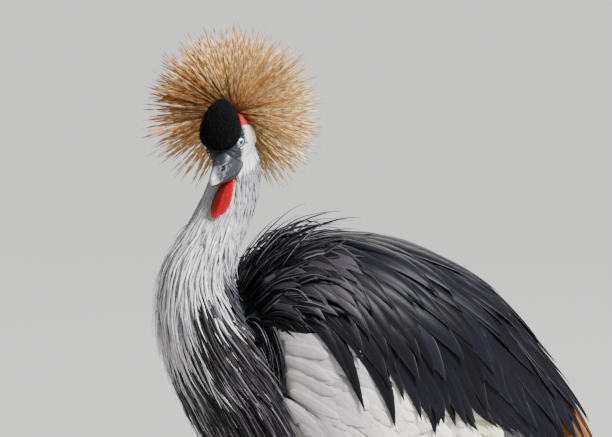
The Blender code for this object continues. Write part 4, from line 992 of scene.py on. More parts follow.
def makeFace():
    draw = np.random.default_rng(faceMake["seed"])
    ahead, angle = [], []
    for k, here in enumerate(np.arange(faceMake["from"], faceMake["to"], faceMake["spacing"])):
        width, rise, fall, _ = headCurve(np.array(here))
        count = max(3, round(2 * np.pi * (width + (rise + fall) / 2) / 2 / faceMake["spacing"]))
        angle.append((np.arange(count) + 0.5 * (k % 2) + draw.normal(0, 0.2, count)) / count * 2 * np.pi)
        ahead.append(here + draw.normal(0, faceMake["spacing"] * 0.25, count))
    ahead, angle = np.concatenate(ahead), np.concatenate(angle)
    roots = headPoint(ahead, angle)
    keep = np.ones(len(ahead), bool)
    for side in (1, -1):
        depth, far = eyeReach(roots, eyePlace(side))
        keep &= (depth < 0) | (far > faceMake["lidReach"])
    below = fromBack(angle) > 0.55
    capAway = np.stack(capPlace.local(roots), -1) / (np.array(capMake["size"]) - 0.001)
    keep &= (np.linalg.norm(capAway, axis=1) > 1.0) & (below | (ahead > 0.02))
    ahead, angle, roots = ahead[keep], angle[keep], roots[keep]
    count, share = len(ahead), np.linspace(0, 1, 4)
    length = faceMake["length"] * draw.uniform(0.7, 1.25, count) * (0.6 + 0.4 * ease(0.024, 0.006, ahead))
    slant = np.sign(np.sin(angle)) * (0.35 + draw.normal(0, 0.2, count))
    girth = np.maximum(headCurve(ahead)[:, 0], 0.006)
    here = ahead[:, None] - (length * np.cos(slant))[:, None] * share
    turn = angle[:, None] + (length * np.sin(slant) / girth)[:, None] * share
    rise = faceMake["rise"] * draw.uniform(0.3, 1.2, count)[:, None]
    height = -faceMake["sunk"] + (rise + faceMake["sunk"]) * share ** 0.6
    line, normal = headPoint(here, turn, height), headOutward(here, turn)
    tone = headTone(roots, tones["pearl"]) * draw.normal(1, 0.05, (count, 1)).clip(0.85, 1.12)
    half = widths(faceMake["halfWidth"], lanceShape(share, 0.8, 0.35, 0.1), draw, 0.8, 1.3, count)
    patch = roundPatch(angle, (ahead + 0.036) / 0.072)
    plumage = Plumage().add(line, normal, half, tone[:, None, None], patch, fine, 0.25, 0.00025)
    plumage.build("face_feathers", faceFinish, "white_face")


makeFace()


# the crest: twisted bristles in gold and straw, brown at the root, with thin dark tips

crestMake = {"at": (-0.037, 0.0, 0.011), "root": 0.0063, "pitch": 12, "spread": 116, "ahead": 94,
             "neckClear": 0.0035, "clearTo": 0.128, "turns": 6.0, "steps": 22}
crestLayers = (
    {"name": "crest_outer", "bristles": 1000, "length": 0.111, "vary": 0.055, "halfWidth": 0.00135,
     "seed": 11, "replaces": ("crest",)},
    {"name": "crest_inner", "bristles": 900, "length": 0.092, "vary": 0.13, "halfWidth": 0.001,
     "seed": 12, "replaces": ()})


def crestWays(count, draw):
    axis = headAt.pitched(crestMake["at"], -math.radians(crestMake["pitch"]))
    index = np.arange(count)
    polar = np.arccos(1 - (1 - math.cos(math.radians(crestMake["spread"]))) * (index + 0.5) / count)
    polar = polar + draw.normal(0, 0.03, count)
    turn = goldenTurn(index) + draw.normal(0, 0.06, count)
    limit = np.radians(np.where(np.cos(turn) < 0.35, crestMake["spread"], crestMake["ahead"]))
    way = turned(-axis.ahead, turned(axis.up, axis.left, turn), polar)
    return way[polar < limit]


def clearOfNeck(lines, margin):
    length = crestMake["clearTo"]
    top, foot = neckShape.axis(0.0)[0], neckShape.axis(length)[0]
    run = foot - top
    part = lines[:, lines.shape[1] // 3:]
    down = np.clip((part - top) @ run / (run @ run), 0, 1)
    away = np.linalg.norm(part - top - run * down[..., None], axis=-1)
    return (away > neckShape.curve(length * down)[..., 2] + margin).all(1)


def makeCrest(layer, finish):
    draw = np.random.default_rng(layer["seed"])
    way = crestWays(layer["bristles"], draw)
    count, share = len(way), np.linspace(0, 1, crestMake["steps"])
    length = layer["length"] * np.clip(draw.normal(0.98, layer["vary"], count), 0.6, 1.06)
    start = headAt.at(*crestMake["at"]) + way * crestMake["root"]
    bowSide = unit(np.cross(way, draw.normal(0, 1, (count, 3))))
    bow = bowSide * draw.normal(0, 0.004, count)[:, None] - upright * 0.0018
    line = start[:, None] + way[:, None] * ((length - crestMake["root"])[:, None] * share)[..., None]
    line = line + bow[:, None] * (share * share)[:, None] * 1.6
    keep = clearOfNeck(line, crestMake["neckClear"])
    line, way, bowSide, count = line[keep], way[keep], bowSide[keep], keep.sum()
    turns = crestMake["turns"] * np.pi * draw.uniform(0.75, 1.25, (count, 1))
    twist = draw.uniform(0, 6.28, (count, 1)) + turns * share
    normal = turned(bowSide[:, None], np.cross(way, bowSide)[:, None], twist)
    half = layer["halfWidth"] * (0.45 + 0.55 * np.minimum(1, share * 5))
    half = half * (1 - 0.88 * ease(0.84, 1.0, share)) * draw.uniform(0.7, 1.3, (count, 1))
    pale = mix(tones["gold"], tones["straw"], draw.uniform(0, 1, count))
    # each bristle is browner by a random share, and those pointing to the bird's right, away from the key
    # light, are painted browner still as shade
    browningAndShade = draw.uniform(0, 1, count) ** 2 * 0.5 + 0.35 * ease(0.15, -0.75, way @ headAt.left)
    browningAndShadeTint = mix(np.ones((count, 3)), tones["brown"] * 3.0, browningAndShade)
    beads = np.clip(0.5 + 0.5 * np.sin(twist * 2 + 1.0), 0, 1)
    tint = mix((pale * browningAndShadeTint)[:, None], tones["brown"], beads ** 1.5 * 0.5)
    tint = mix(tint, tones["umber"], ease(0.91, 0.97, share) * draw.uniform(0.2, 1, (count, 1)))
    tint = mix(tones["brown"] * 0.7, tint, ease(0.0, 0.22, share) * 0.4 + 0.6)
    spread = np.stack([0.5 + 0.45 * (way @ headAt.left), 0.5 + 0.45 * (way @ headAt.up)], -1)
    plumage = Plumage().add(line, normal, half, tint[:, :, None], spread, thin, 0.0, 0.0007)
    plumage.build(layer["name"], finish, "golden_bristles", layer["replaces"])


bristleFinish = featherMaterial("goldenBristle", 0.38, 0.42, 27, 0.2, 1.0, 0.1, 0.55)
for layer in crestLayers:
    makeCrest(layer, bristleFinish)


# the neck's silky down, and the long plumes of the breast

neckMake = {"from": 0.01, "to": 0.215, "spacing": (0.0058, 0.003), "length": 0.032, "halfWidth": 0.00115,
            "seed": 3}
napeMake = {"from": 0.11, "to": 0.33, "spacing": (0.008, 0.0048), "angle": 78, "length": 0.03,
            "halfWidth": 0.002, "seed": 4}
breastMake = {"steps": 10, "sway": 0.05, "bend": 0.0022}
whiteMake = {
    "name": "breast_plumes", "from": 0.115, "to": 0.282, "limits": (40, 98), "spacing": (0.008, 0.0046),
    "length": (0.042, 0.082), "halfWidth": 0.0014, "rise": 0.0066, "front": 0.5, "late": 0.0,
    "seed": 5, "replaces": ("neck_lower",)}
fringeMake = {
    "name": "breast_fringe", "from": 0.185, "to": 0.33, "limits": (56, 78), "spacing": (0.0064, 0.005),
    "length": (0.115, 0.185), "halfWidth": 0.0019, "rise": 0.0125, "front": 0.0, "late": 0.052,
    "seed": 6, "replaces": ()}


def makeNeckDown():
    draw = np.random.default_rng(neckMake["seed"])
    along, angle = rowsOn(neckShape, neckMake, 0, 360, draw)
    count = len(along)
    length = neckMake["length"] * (0.5 + 0.9 * ease(0, 0.09, along)) * draw.uniform(0.7, 1.25, count)
    rise = draw.uniform(0.0003, 0.0014, count)
    line, normal = lie(neckShape, along, angle, length, draw.normal(0, 0.06, count), rise, 0.004, 6)
    keep = outsideHead(line[:, 1], 1.06) & outsideHead(line[:, 3], 1.0)
    line, normal, along, angle = line[keep], normal[keep], along[keep], angle[keep]
    count, share = len(line), np.linspace(0, 1, 6)
    half = widths(neckMake["halfWidth"], bladeShape(share, 0.6, 0.3, 0.06), draw, 0.55, 1.35, count)
    half = half * (1 + 0.9 * ease(0.13, 0.03, along))[:, None]
    light = draw.uniform(0, 1, (count, 1)) ** 1.5
    # fewer pale strands close under the head, as painted shade there
    light = light[:, 0] * (0.15 + 0.6 * ease(0.03, 0.11, along)) * ease(1.1, 1.7, fromBack(angle))
    tone = mix(neckTone(along, angle), tones["pearlLight"], light)
    tone = mix(tone, tones["mauve"], (draw.uniform(0, 1, count) < 0.08) * 0.35)
    tint = mix(tone[:, None] * 0.92, tone[:, None] * 1.08, share[None])
    near = along < 0.07
    tint[near] = headTone(line[near].reshape(-1, 3), tint[near].reshape(-1, 3)).reshape(-1, 6, 3)
    patch = roundPatch(angle, along / neckShape.length)
    plumage = Plumage().add(line, normal, half, tint[:, :, None], patch, fine, 0.12, 0.0004)
    plumage.build("neck_down", pearlFinish, "grey_down")


def makeNapeDown():
    # short smooth dark feathers behind the lower neck, down into the shoulders
    draw = np.random.default_rng(napeMake["seed"])
    wide = napeMake["angle"]
    along, angle = rowsOn(neckShape, napeMake, -wide, wide, draw)
    keep = np.abs(angle) < np.radians(wide) * ease(0.09, 0.19, along)
    along, angle = along[keep], angle[keep]
    count, share = len(along), np.linspace(0, 1, 6)
    length = napeMake["length"] * draw.uniform(0.7, 1.3, count)
    lean, rise = draw.normal(0, 0.08, count), draw.uniform(0.0012, 0.0035, count)
    line, normal = lie(neckShape, along, angle, length, lean, rise, 0.004, 6)
    half = widths(napeMake["halfWidth"], bladeShape(share, 0.6, 0.35, 0.05), draw, 0.7, 1.3, count)
    tone = mix(tones["navy"], tones["pearlShade"], draw.uniform(0, 0.35, count))
    patch = roundPatch(angle, along / neckShape.length)
    plumage = Plumage().add(line, normal, half, tone[:, None, None], patch, fine, 0.2, 0.0004)
    plumage.build("nape_down", darkFinish, "slate_plumes")


def breastLines(along, angle, length, rise, spread, steps):
    share = np.linspace(0, 1, steps)[None]
    here = along[:, None] + length[:, None] * share
    turn = angle[:, None] + ((angle - math.pi) * 0.1 + spread)[:, None] * share ** 1.3
    height = -0.003 + (rise[:, None] + 0.003) * share ** 0.7
    away = ease(0, 0.4, share)[..., None]
    line = neckShape.point(np.minimum(here, neckShape.length), turn, height) * (1 - away)
    line = line + curtainShape.point(here, turn, height) * away
    return line, curtainShape.outward(here, turn)


def makePlumes(make, finish, tintOf, columns):
    draw = np.random.default_rng(make["seed"])
    along, angle = rowsOn(neckShape, make, 20, 340, draw)
    reach = ease(make["from"], make["to"], along)
    limit = np.radians(between(make["limits"], ease(0.16, 0.29, along)))
    keep = (angle > limit) & (angle < 2 * math.pi - limit)
    keep &= along > make["from"] + make["late"] * ease(1.25, 0.45, np.abs(angle - np.pi))
    along, angle, reach = along[keep], angle[keep], reach[keep]
    count, steps = len(along), breastMake["steps"]
    front = 1 + make["front"] * ease(1.25, 0.25, np.abs(angle - np.pi))
    length = between(make["length"], reach) * draw.uniform(0.75, 1.15, count) * front
    rise = make["rise"] * draw.uniform(0.3, 1.2, count)
    line, normal = breastLines(along, angle, length, rise, draw.normal(0, breastMake["sway"], count), steps)
    share = np.linspace(0, 1, steps)
    line = line + draw.normal(0, breastMake["bend"], (count, 1, 3)) * share[:, None] ** 2
    curl = draw.normal(0, breastMake["bend"] * 0.6, (count, 3))
    line = line + curl[:, None] * np.sin(share * np.pi * 2)[:, None]
    half = widths(make["halfWidth"], lanceShape(share, 0.75, 0.35, 0.04), draw, 0.6, 1.35, count)
    tint = tintOf(draw, along, angle, share, columns)
    patch = roundPatch(angle, along / neckShape.length)
    plumage = Plumage().add(line, normal, half, tint, patch, columns, 0.3, 0.0005)
    plumage.build(make["name"], finish, "grey_down", make["replaces"])


def whiteTint(draw, along, angle, share, columns):
    count = len(along)
    light = draw.uniform(0, 1, count) ** 1.2 * ease(1.1, 1.6, np.pi - np.abs(np.pi - angle))
    tone = mix(neckTone(along, angle), tones["pearlLight"], light)
    tone = mix(tone, tones["mauve"], (draw.uniform(0, 1, count) < 0.1) * 0.5)
    tint = mix(tone[:, None] * 0.92, tone[:, None] * 1.1, share[None])
    return tint[:, :, None] * (1.05 - 0.16 * np.abs(columns))[:, None]


def fringeTint(draw, along, angle, share, columns):
    count = len(along)
    tone = mix(tones["umber"], tones["slate"], draw.uniform(0, 1, count))
    tone = mix(tone, tones["pearlShade"], draw.uniform(0, 1, count) ** 5 * 0.7)
    low, front = ease(0.215, 0.255, along), ease(1.2, 0.3, np.abs(angle - np.pi))
    dark = share[None] + (draw.normal(0.04, 0.07, count) + 0.36 * low - 0.16 * front * (1 - low))[:, None]
    pale = mix(neckTone(along, angle)[:, None], tone[:, None], ease(0.0, 0.14, dark))
    edge = (np.abs(columns) > 0.8) * draw.uniform(0, 0.42, (count, 1, 1)) * ease(0.1, 0.4, share)[:, None]
    return mix(pale[:, :, None], tones["mauve"] * 1.2, edge)


pearlFinish = featherMaterial("pearlDown", 0.62, 0.14, 24, 0.2, 1.0, 0.3)
darkFinish = featherMaterial("darkDown", 0.6, 0.16, 24, 0.2, 1.0, 0.1)
plumeFinish = featherMaterial("breastPlume", 0.5, 0.16, 60, 0.3, 1.15, 0.03, 0.15)
makeNeckDown()
makeNapeDown()
makePlumes(whiteMake, plumeFinish, whiteTint, fine)
makePlumes(fringeMake, plumeFinish, fringeTint, plain)


# the mantle: thin dark plumes that spring from the foot of the neck, up, back and down over the shoulders

mantleGroups = (
    {"name": "mantle_plumes", "from": 0.012, "to": 0.072, "angle": (-62, 62), "spacing": (0.0078, 0.0066),
     "reach": (0.06, 0.12), "rise": 0.038, "lean": 0.16, "wild": 0.16, "halfWidth": 0.0027,
     "seed": 7, "replaces": ("torso",)},
    {"name": "shoulder_plumes", "from": 0.003, "to": 0.024, "angle": (44, 112), "spacing": (0.0056, 0.005),
     "reach": (0.02, 0.04), "rise": 0.016, "lean": 0.85, "wild": 0.3, "halfWidth": 0.0019,
     "seed": 8, "replaces": ()})


def makeMantle(group, finish):
    draw = np.random.default_rng(group["seed"])
    low, high = group["angle"]
    along, angle = rowsOn(torsoShape, group, low, high, draw)
    if low > 0:                                                     # the same on the right side
        along, angle = np.concatenate([along, along + 0.001]), np.concatenate([angle, -angle])
    count, steps = len(along), 12
    share = np.linspace(0, 1, steps)
    reach = between(group["reach"], draw.uniform(0, 1, count)) * (1 - 0.6 * ease(0.4, 0.95, np.abs(angle)))
    rise = group["rise"] * draw.uniform(0.15, 1.1, count) * ease(0.1, 0.03, along * 0.9) ** 0.5
    here = along[:, None] + reach[:, None] * share ** 1.15
    lean = np.sign(angle) * group["lean"] * (0.4 + 0.6 * ease(0.2, 1.0, np.abs(angle)))
    lean = lean + draw.normal(0, group["wild"], count)
    turn = angle[:, None] * (1 + 0.1 * share) + lean[:, None] * share ** 1.5
    height = -0.003 + (rise[:, None] + 0.003) * np.sin(np.pi * np.minimum(0.5, 0.62 * share ** 0.6))
    tip = rise * draw.uniform(-0.5, 0.35, count) * ease(1.5, 0.5, np.abs(angle))
    height = height + tip[:, None] * ease(0.5, 1.0, share)
    line, normal = torsoShape.point(here, turn, height), torsoShape.outward(here, turn)
    half = widths(group["halfWidth"], lanceShape(share, 0.7, 0.4, 0.04), draw, 0.55, 1.4, count)
    tone = mix(tones["deepSlate"], tones["slate"] * 1.5, draw.uniform(0, 1, count))
    edge = (np.abs(plain) > 0.8) * draw.uniform(0, 1, (count, 1, 1)) ** 1.5
    edge = edge * ease(0.05, 0.3, share)[:, None] * 0.75
    tint = mix(tone[:, None, None], tones["pearlShade"] * 1.5, edge)
    patch = roundPatch(angle + np.pi, along / torsoShape.length)
    plumage = Plumage().add(line, normal, half, tint, patch, plain, 0.3, 0.0005)
    plumage.build(group["name"], finish, "slate_plumes", group["replaces"])


mantleFinish = featherMaterial("mantlePlume", 0.45, 0.16, 60, 0.3, 1.1, 0.0, 0.14)
for group in mantleGroups:
    makeMantle(group, mantleFinish)


# the folded wings, from the lowest feathers to the ones that lie on top

hang = math.radians(96)
wingFold = {"from": 0.031, "to": 0.54, "top": 0.6, "edgeAt": (0.0, 0.12, 0.35, 0.7, 1.0),
            "edge": (120, 150, 144, 116, 92), "border": 0.0032, "bulge": 0.0085}
wingEdge = Curve(wingFold["edgeAt"], [[math.radians(a)] for a in wingFold["edge"]])
wingGroups = (
    {"name": "primaries", "from": 0.33, "to": 0.412, "top": 6, "low": 100, "spacing": (0.024, 0.0125),
     "length": (0.14, 0.16), "run": 1.0, "drop": (2, 6), "half": 0.0095, "rise": 0.0015,
     "tones": ("deepSlate", "slate"), "edge": "slate", "edging": 0.2, "shape": lanceShape, "lift": -0.0005},
    {"name": "coverts", "from": 0.03, "to": 0.34, "top": 70, "low": 146, "spacing": (0.017, 0.0145),
     "length": (0.056, 0.066), "run": 0.88, "drop": (9, 16), "half": 0.013, "rise": 0.0036,
     "tones": ("cream", "white"), "edge": "white", "edging": 0.25, "shape": bladeShape, "lift": 0.0,
     "ragged": 0.1},
    {"name": "secondaries", "from": 0.32, "to": 0.41, "top": 48, "low": 92, "spacing": (0.03, 0.011),
     "length": (0.14, 0.185), "run": 1.0, "drop": (3, 6), "half": 0.0125, "rise": 0.003,
     "tones": ("chestnut", "brown"), "edge": "brown", "edging": 0.4, "shape": lanceShape, "lift": 0.0},
    {"name": "scapulars", "from": 0.04, "to": 0.38, "top": 5, "low": 99, "spacing": (0.0185, 0.0155),
     "length": (0.108, 0.148), "run": 0.94, "drop": (9, 42), "half": 0.0138, "rise": 0.009,
     "tones": ("slate", "blueSlate"), "edge": "pearlShade", "edging": 0.75, "shape": lanceShape, "lift": 0.0,
     "wild": 4.5},
    {"name": "shoulder_tabs", "from": 0.026, "to": 0.1, "top": 28, "low": 60, "spacing": (0.0125, 0.0104),
     "length": (0.04, 0.046), "run": 0.62, "drop": (12, 17), "half": 0.0068, "rise": 0.006,
     "tones": ("tab", "slate"), "edge": "pearlShade", "edging": 0.9, "shape": lanceShape, "lift": 0.015})
wingSteps = 11


def hungPoint(along, angle, height):
    # the point of the wings' own surface, hanging straight down past its widest part
    way = np.sign(angle)
    past = np.maximum(np.abs(angle) - hang, 0.0)
    held = way * np.minimum(np.abs(angle), hang)
    start = wingShape.point(along, held, height)
    widest, before = (wingShape.point(along, way * turn, height) for turn in (hang, hang - 0.05))
    depth = wingShape.curve(np.asarray(along, float))[..., 4]
    return start + unit(widest - before) * (past * depth)[..., None]


def hungNormal(along, angle):
    return wingShape.outward(along, np.sign(angle) * np.minimum(np.abs(angle), hang))


def wingHeight(u, v):
    bulge = np.sqrt(np.clip(16 * u * (1 - u) * v * (1 - v), 0, 1))
    top = np.sqrt(np.clip(4 * u * (1 - u) * (1 - v) ** 2, 0, 1))
    return wingFold["border"] + wingFold["bulge"] * np.maximum(bulge, 0.8 * top)


def wingShare(along, angle):
    u = np.clip((along - wingFold["from"]) / (wingFold["to"] - wingFold["from"]), 0, 1)
    low, top = wingEdge(u)[..., 0], math.radians(wingFold["top"])
    return u, np.clip((np.abs(angle) - top) / (low - top), 0, 1)


def makeFold(word, side, finish):
    # the flat of the folded wing, under its feathers
    u, v = np.meshgrid(np.linspace(0, 1, 46), np.linspace(0, 1, 30), indexing="ij")
    along = between((wingFold["from"], wingFold["to"]), u)
    top = math.radians(wingFold["top"])
    angle = side * (top + (wingEdge(u)[..., 0] - top) * v)
    layers = np.stack([hungPoint(along, angle, 0.0006), hungPoint(along, angle, wingHeight(u, v) - 0.001)])
    places = layers.reshape(-1, 3)
    tint = mix(tones["slate"] * 0.8, tones["cream"] * 0.55, ease(0.6, 0.72, np.stack([v, v]).reshape(-1)))
    grid = np.arange(len(places)).reshape(layers.shape[:3])
    made = outwards(arrayMesh("wing_fold_" + word, places, sheetFaces(grid), tint))
    settle(made, finish)


def wingTint(group, draw, along, share):
    count = len(along)
    first, second = (tones[name] for name in group["tones"])
    tone = mix(first, second, draw.uniform(0, 1, count)) * draw.normal(1, 0.14, (count, 1)).clip(0.6, 1.5)
    if group["name"] == "coverts":                                  # the front ones grey and mauve as painted shade, cream further back
        front = ease(0.15, 0.055, along + draw.normal(0, 0.01, count))
        tone = mix(tone, mix(tones["pearl"], tones["mauve"], draw.uniform(0.0, 0.5, count)), front * 0.85)
        tone = mix(tone, tones["straw"], ease(0.3, 0.37, along + draw.normal(0, 0.02, count)) * 0.85)
    edge = ease(0.86, 1.0, np.abs(edged)) * ease(0.1, 0.8, share)[:, None] * group["edging"]
    edge = edge * draw.uniform(0.3, 1.0, (count, 1, 1))
    tint = mix(tone[:, None, None], tones[group["edge"]], edge)
    return tint * (0.8 + 0.25 * share)[:, None, None]


def makeWing(word, side, seed, finish):
    draw = np.random.default_rng(seed)
    makeFold(word, side, skinFinish)
    for group in wingGroups:
        along, angle = rowsOn(wingShape, group, group["top"], group["low"], draw)
        # in front the scapulars are shorter and fall steeply
        front = ease(0.225, 0.045, along) * (group["name"] == "scapulars")
        keep = np.degrees(angle) < group["low"] - 38 * front ** 2
        keep &= (group["name"] != "coverts") | (np.degrees(angle) > 68 + 18 * ease(0.075, 0.11, along))
        along, angle, front = along[keep], angle[keep], front[keep]
        count, share = len(along), np.linspace(0, 1, wingSteps)
        part = np.clip((np.degrees(angle) - group["top"]) / (group["low"] - group["top"]), 0, 1)
        length = between(group["length"], part) * draw.uniform(0.86, 1.1, count)
        drop = np.radians(between(group["drop"], part) + draw.normal(0, group.get("wild", 2.2), count))
        drop = drop + math.radians(35) * front ** 1.4
        here = along[:, None] + (length * group["run"] * (1 - 0.42 * front))[:, None] * share
        turn = angle[:, None] + drop[:, None] * share ** 1.25
        rise = group["rise"] * draw.uniform(0.5, 1.35, (count, 1))
        height = wingHeight(*wingShare(here, turn)) - 0.002 + group["lift"] + rise * share ** 0.5
        line, normal = hungPoint(here, side * turn, height), hungNormal(here, side * turn)
        slim = np.clip(wingShape.curve(along + length * 0.5)[:, 2] / 0.095, 0.45, 1)
        half = group["half"] * group["shape"](share) * (draw.uniform(0.85, 1.12, count) * slim)[:, None]
        wave = None
        if "ragged" in group:
            wave = draw.normal(0, group["ragged"], (count, wingSteps, len(edged)))
            wave = wave * ease(0.45, 1.0, share)[:, None]
            half = half * (1 + draw.normal(0, 0.06, (count, wingSteps)))
        line[..., 0] = side * np.maximum(side * line[..., 0], 0.0006 + half * 0.6)
        tint = wingTint(group, draw, along, share)
        patch = roundPatch(np.pi + side * angle, along / wingShape.length)
        plumage = Plumage().add(line, normal, half, tint, patch, edged, 0.24, 0.0007, -0.07 * side, wave)
        replaces = ("wing_" + word,) if group["name"] == "scapulars" else ()
        plumage.build(group["name"] + "_" + word, finish, "slate_plumes", replaces)


wingFinish = featherMaterial("wingFeather", 0.42, 0.14, 90, 0.5, 0.75, 0.0, 0.11)
makeWing("left", 1, 21, wingFinish)
makeWing("right", -1, 22, wingFinish)


# the tail's black quills, and their coverts

tailMake = {"inset": 0.03, "from": -0.008, "quills": 12, "length": 0.15, "spread": 0.027,
            "rootSpread": 0.35, "layer": 0.0008, "droop": 0.045, "shorter": 0.12, "half": 0.0105, "seed": 41}
tailRows = (   # count, share of the full length, level and share of the full width
    (tailMake["quills"], 1.0, 0.0, 1.0), (22, 0.55, 0.007, 0.8), (22, 0.5, -0.007, 0.8))


def makeTail(finish):
    draw = np.random.default_rng(tailMake["seed"])
    start, back = torsoShape.axis(torsoShape.length - tailMake["inset"])
    place = Place(start, np.cross(sideways, back) * -1, sideways, back)
    plumage = Plumage()
    for count, long, level, wide in tailRows:
        aside = np.linspace(-1, 1, count) + draw.normal(0, 0.03, count)
        far = np.linspace(0, 1, 12)
        reach = tailMake["length"] * long * (1 - tailMake["shorter"] * np.abs(aside))
        reach = reach * draw.uniform(0.94, 1.03, count)
        out = tailMake["from"] + reach[:, None] * far
        across = tailMake["spread"] * aside[:, None] * between((tailMake["rootSpread"], 1.0), far)
        layer = tailMake["layer"] * tailMake["quills"] / 2 * (1 - np.abs(aside)) + level
        up = layer[:, None] - tailMake["droop"] * (far * long) ** 2
        line = place.at(out, across, up)
        half = tailMake["half"] * wide * bladeShape(far, 0.45, 0.6, 0.05, 1.4)[None] * np.ones((count, 1))
        tint = mix(tones["deepSlate"], tones["slate"] * 1.3, draw.uniform(0, 1, count))
        spot = np.stack([0.5 + aside * 0.4, np.full(count, 0.93)], -1)
        plumage.add(line, place.up, half, tint[:, None, None], spot, edged, 0.16, 0.0007)
    plumage.build("tail_quills", finish, "black_quills", ("tail",))


makeTail(wingFinish)


# the grey body feathers below the wings, and those of the thighs

bodyMake = {"from": 0.02, "to": 0.5, "angle": (78, 282), "spacing": (0.015, 0.0125), "length": 0.038,
            "half": 0.0084, "steps": 8, "seed": 43}
thighMake = {"from": 0.1, "to": 0.64, "rows": 15, "around": 15, "length": 0.04, "limb": 0.265,
             "half": 0.0066, "steps": 8}


def makeBody(finish):
    draw = np.random.default_rng(bodyMake["seed"])
    along, angle = rowsOn(torsoShape, bodyMake, *bodyMake["angle"], draw)
    count, steps = len(along), bodyMake["steps"]
    share = np.linspace(0, 1, steps)
    length = bodyMake["length"] * draw.uniform(0.85, 1.25, count) * (1 + 0.4 * ease(0.3, 0.5, along))
    lean, rise = draw.normal(0, 0.1, count), draw.uniform(0.003, 0.0075, count)
    line, normal = lie(torsoShape, along, angle, length, lean, rise, 0.003, steps)
    half = widths(bodyMake["half"], bladeShape(share, 0.6, 0.45, 0.08), draw, 0.85, 1.15, count)
    tone = mix(tones["belly"], tones["pearlShade"] * 1.3, draw.uniform(0, 1, count) * 0.7)
    tone = mix(tone, tones["slate"], ease(0.38, 0.48, along))
    edge = ease(0.7, 1.0, np.abs(plain)) * ease(0.1, 0.8, share)[:, None]
    edge = edge * draw.uniform(0.2, 0.6, (count, 1, 1))
    tint = mix(tone[:, None, None], tones["pearl"] * 0.8, edge)
    patch = roundPatch(angle + np.pi, along / torsoShape.length)
    wave = draw.normal(0, 0.06, (count, steps, len(plain)))
    plumage = Plumage().add(line, normal, half, tint, patch, plain, 0.22, 0.0006, 0.0, wave)
    plumage.build("belly_feathers", finish, "grey_down")


def thighPoint(side, share, angle, height):
    hip, hock = (np.array(p) * (side, 1, 1) for p in thighLine)
    down = unit(hock - hip)
    forward = unit(np.cross(sideways, down))
    width, depth = np.moveaxis(thighCurve(share), -1, 0)
    centre = hip + (hock - hip) * share[..., None]
    wide, deep = np.sin(angle) * (width + height), np.cos(angle) * (depth + height)
    return centre + sideways * wide[..., None] + forward * deep[..., None]


def makeThigh(word, side, seed, finish):
    draw = np.random.default_rng(seed)
    row, place = np.meshgrid(np.arange(thighMake["rows"]), np.arange(thighMake["around"]), indexing="ij")
    row, place = row.ravel(), place.ravel()
    share = between((thighMake["from"], thighMake["to"]), row / (thighMake["rows"] - 1))
    share = share + draw.normal(0, 0.008, row.size)
    angle = (place + 0.5 * (row % 2) + draw.normal(0, 0.2, row.size)) / thighMake["around"] * 2 * np.pi
    far = np.linspace(0, 1, thighMake["steps"])
    reach = thighMake["length"] / thighMake["limb"] * draw.uniform(0.8, 1.2, row.size)
    reach = reach * (1 - 0.4 * ease(0.5, 0.66, share))
    here = share[:, None] + reach[:, None] * far
    turn = np.broadcast_to(angle[:, None], here.shape)
    height = -0.003 + (draw.uniform(0.003, 0.007, row.size)[:, None] + 0.003) * far ** 0.6
    line = thighPoint(side, here, turn, height)
    normal = unit(thighPoint(side, here, turn, height + 0.01) - line)
    slim = 0.35 + 0.65 * ease(0.68, 0.4, share)
    half = thighMake["half"] * bladeShape(far, 0.6, 0.4, 0.08) * slim[:, None]
    tone = mix(tones["belly"] * 0.7, tones["slate"] * 1.5, draw.uniform(0, 1, row.size))
    edge = ease(0.6, 1.0, np.abs(plain)) * far[:, None] * 0.4
    tint = mix(tone[:, None, None], tones["pearlShade"] * 1.4, edge)
    plumage = Plumage().add(line, normal, half, tint, roundPatch(angle, share), plain, 0.25, 0.0006)
    plumage.build("thigh_feathers_" + word, finish, "flank_plumes")


bodyFinish = featherMaterial("bodyFeather", 0.65, 0.16, 40, 0.3, 0.85, 0.1, 0.25)
makeBody(bodyFinish)
makeThigh("left", 1, 45, bodyFinish)
makeThigh("right", -1, 46, bodyFinish)


# the legs: shin, hock and tarsus in one, with plates down their front, and four toes with a claw each

legMake = {"ankle": (0.05, 0.014, 0.022), "foot": 0.016, "footHalf": 0.0078, "plate": 0.0046,
           "relief": 0.055, "rings": 330, "sides": 32, "toeStep": 0.0011}
shinStations = (   # share of the way down and half width
    (0.62, 0.008), (0.7, 0.0072), (0.8, 0.006), (0.9, 0.0062), (0.96, 0.008), (1.0, 0.0086))
tarsusStations = (
    (0.05, 0.0078), (0.14, 0.0056), (0.3, 0.0051), (0.5, 0.0049), (0.7, 0.005), (0.85, 0.0056),
    (1.0, 0.007))
toes = {   # turn, length and half width
    "middle": (0, 0.086, 0.0052), "outer": (34, 0.066, 0.0048), "inner": (-34, 0.066, 0.0048),
    "hind": (180, 0.026, 0.004)}
swells = ((0.0, 1.0), (0.14, 1.0), (0.36, 0.82), (0.52, 0.96), (0.72, 0.74), (0.96, 0.62), (1.0, 0.4))
toeSwell = Curve([place for place, _ in swells], [[swell] for _, swell in swells])
clawMake = {"length": 0.014, "gap": -0.0015, "steps": 14}
legFinish = tintedMaterial("blackScale", 0.46, 620, 0.35, 0.0006, 0.5, 0.0, 0.1)
clawFinish = tintedMaterial("clawHorn", 0.35, 500, 0.25, 0.0003, 0.5, 0.0, 0.2)


def plates(along, front):
    # the rise of overlapping plates along a limb, from 0 to 1, fading away from its front
    step = along / legMake["plate"] % 1.0
    return ease(0.0, 0.75, step) * ease(1.0, 0.86, step) * front


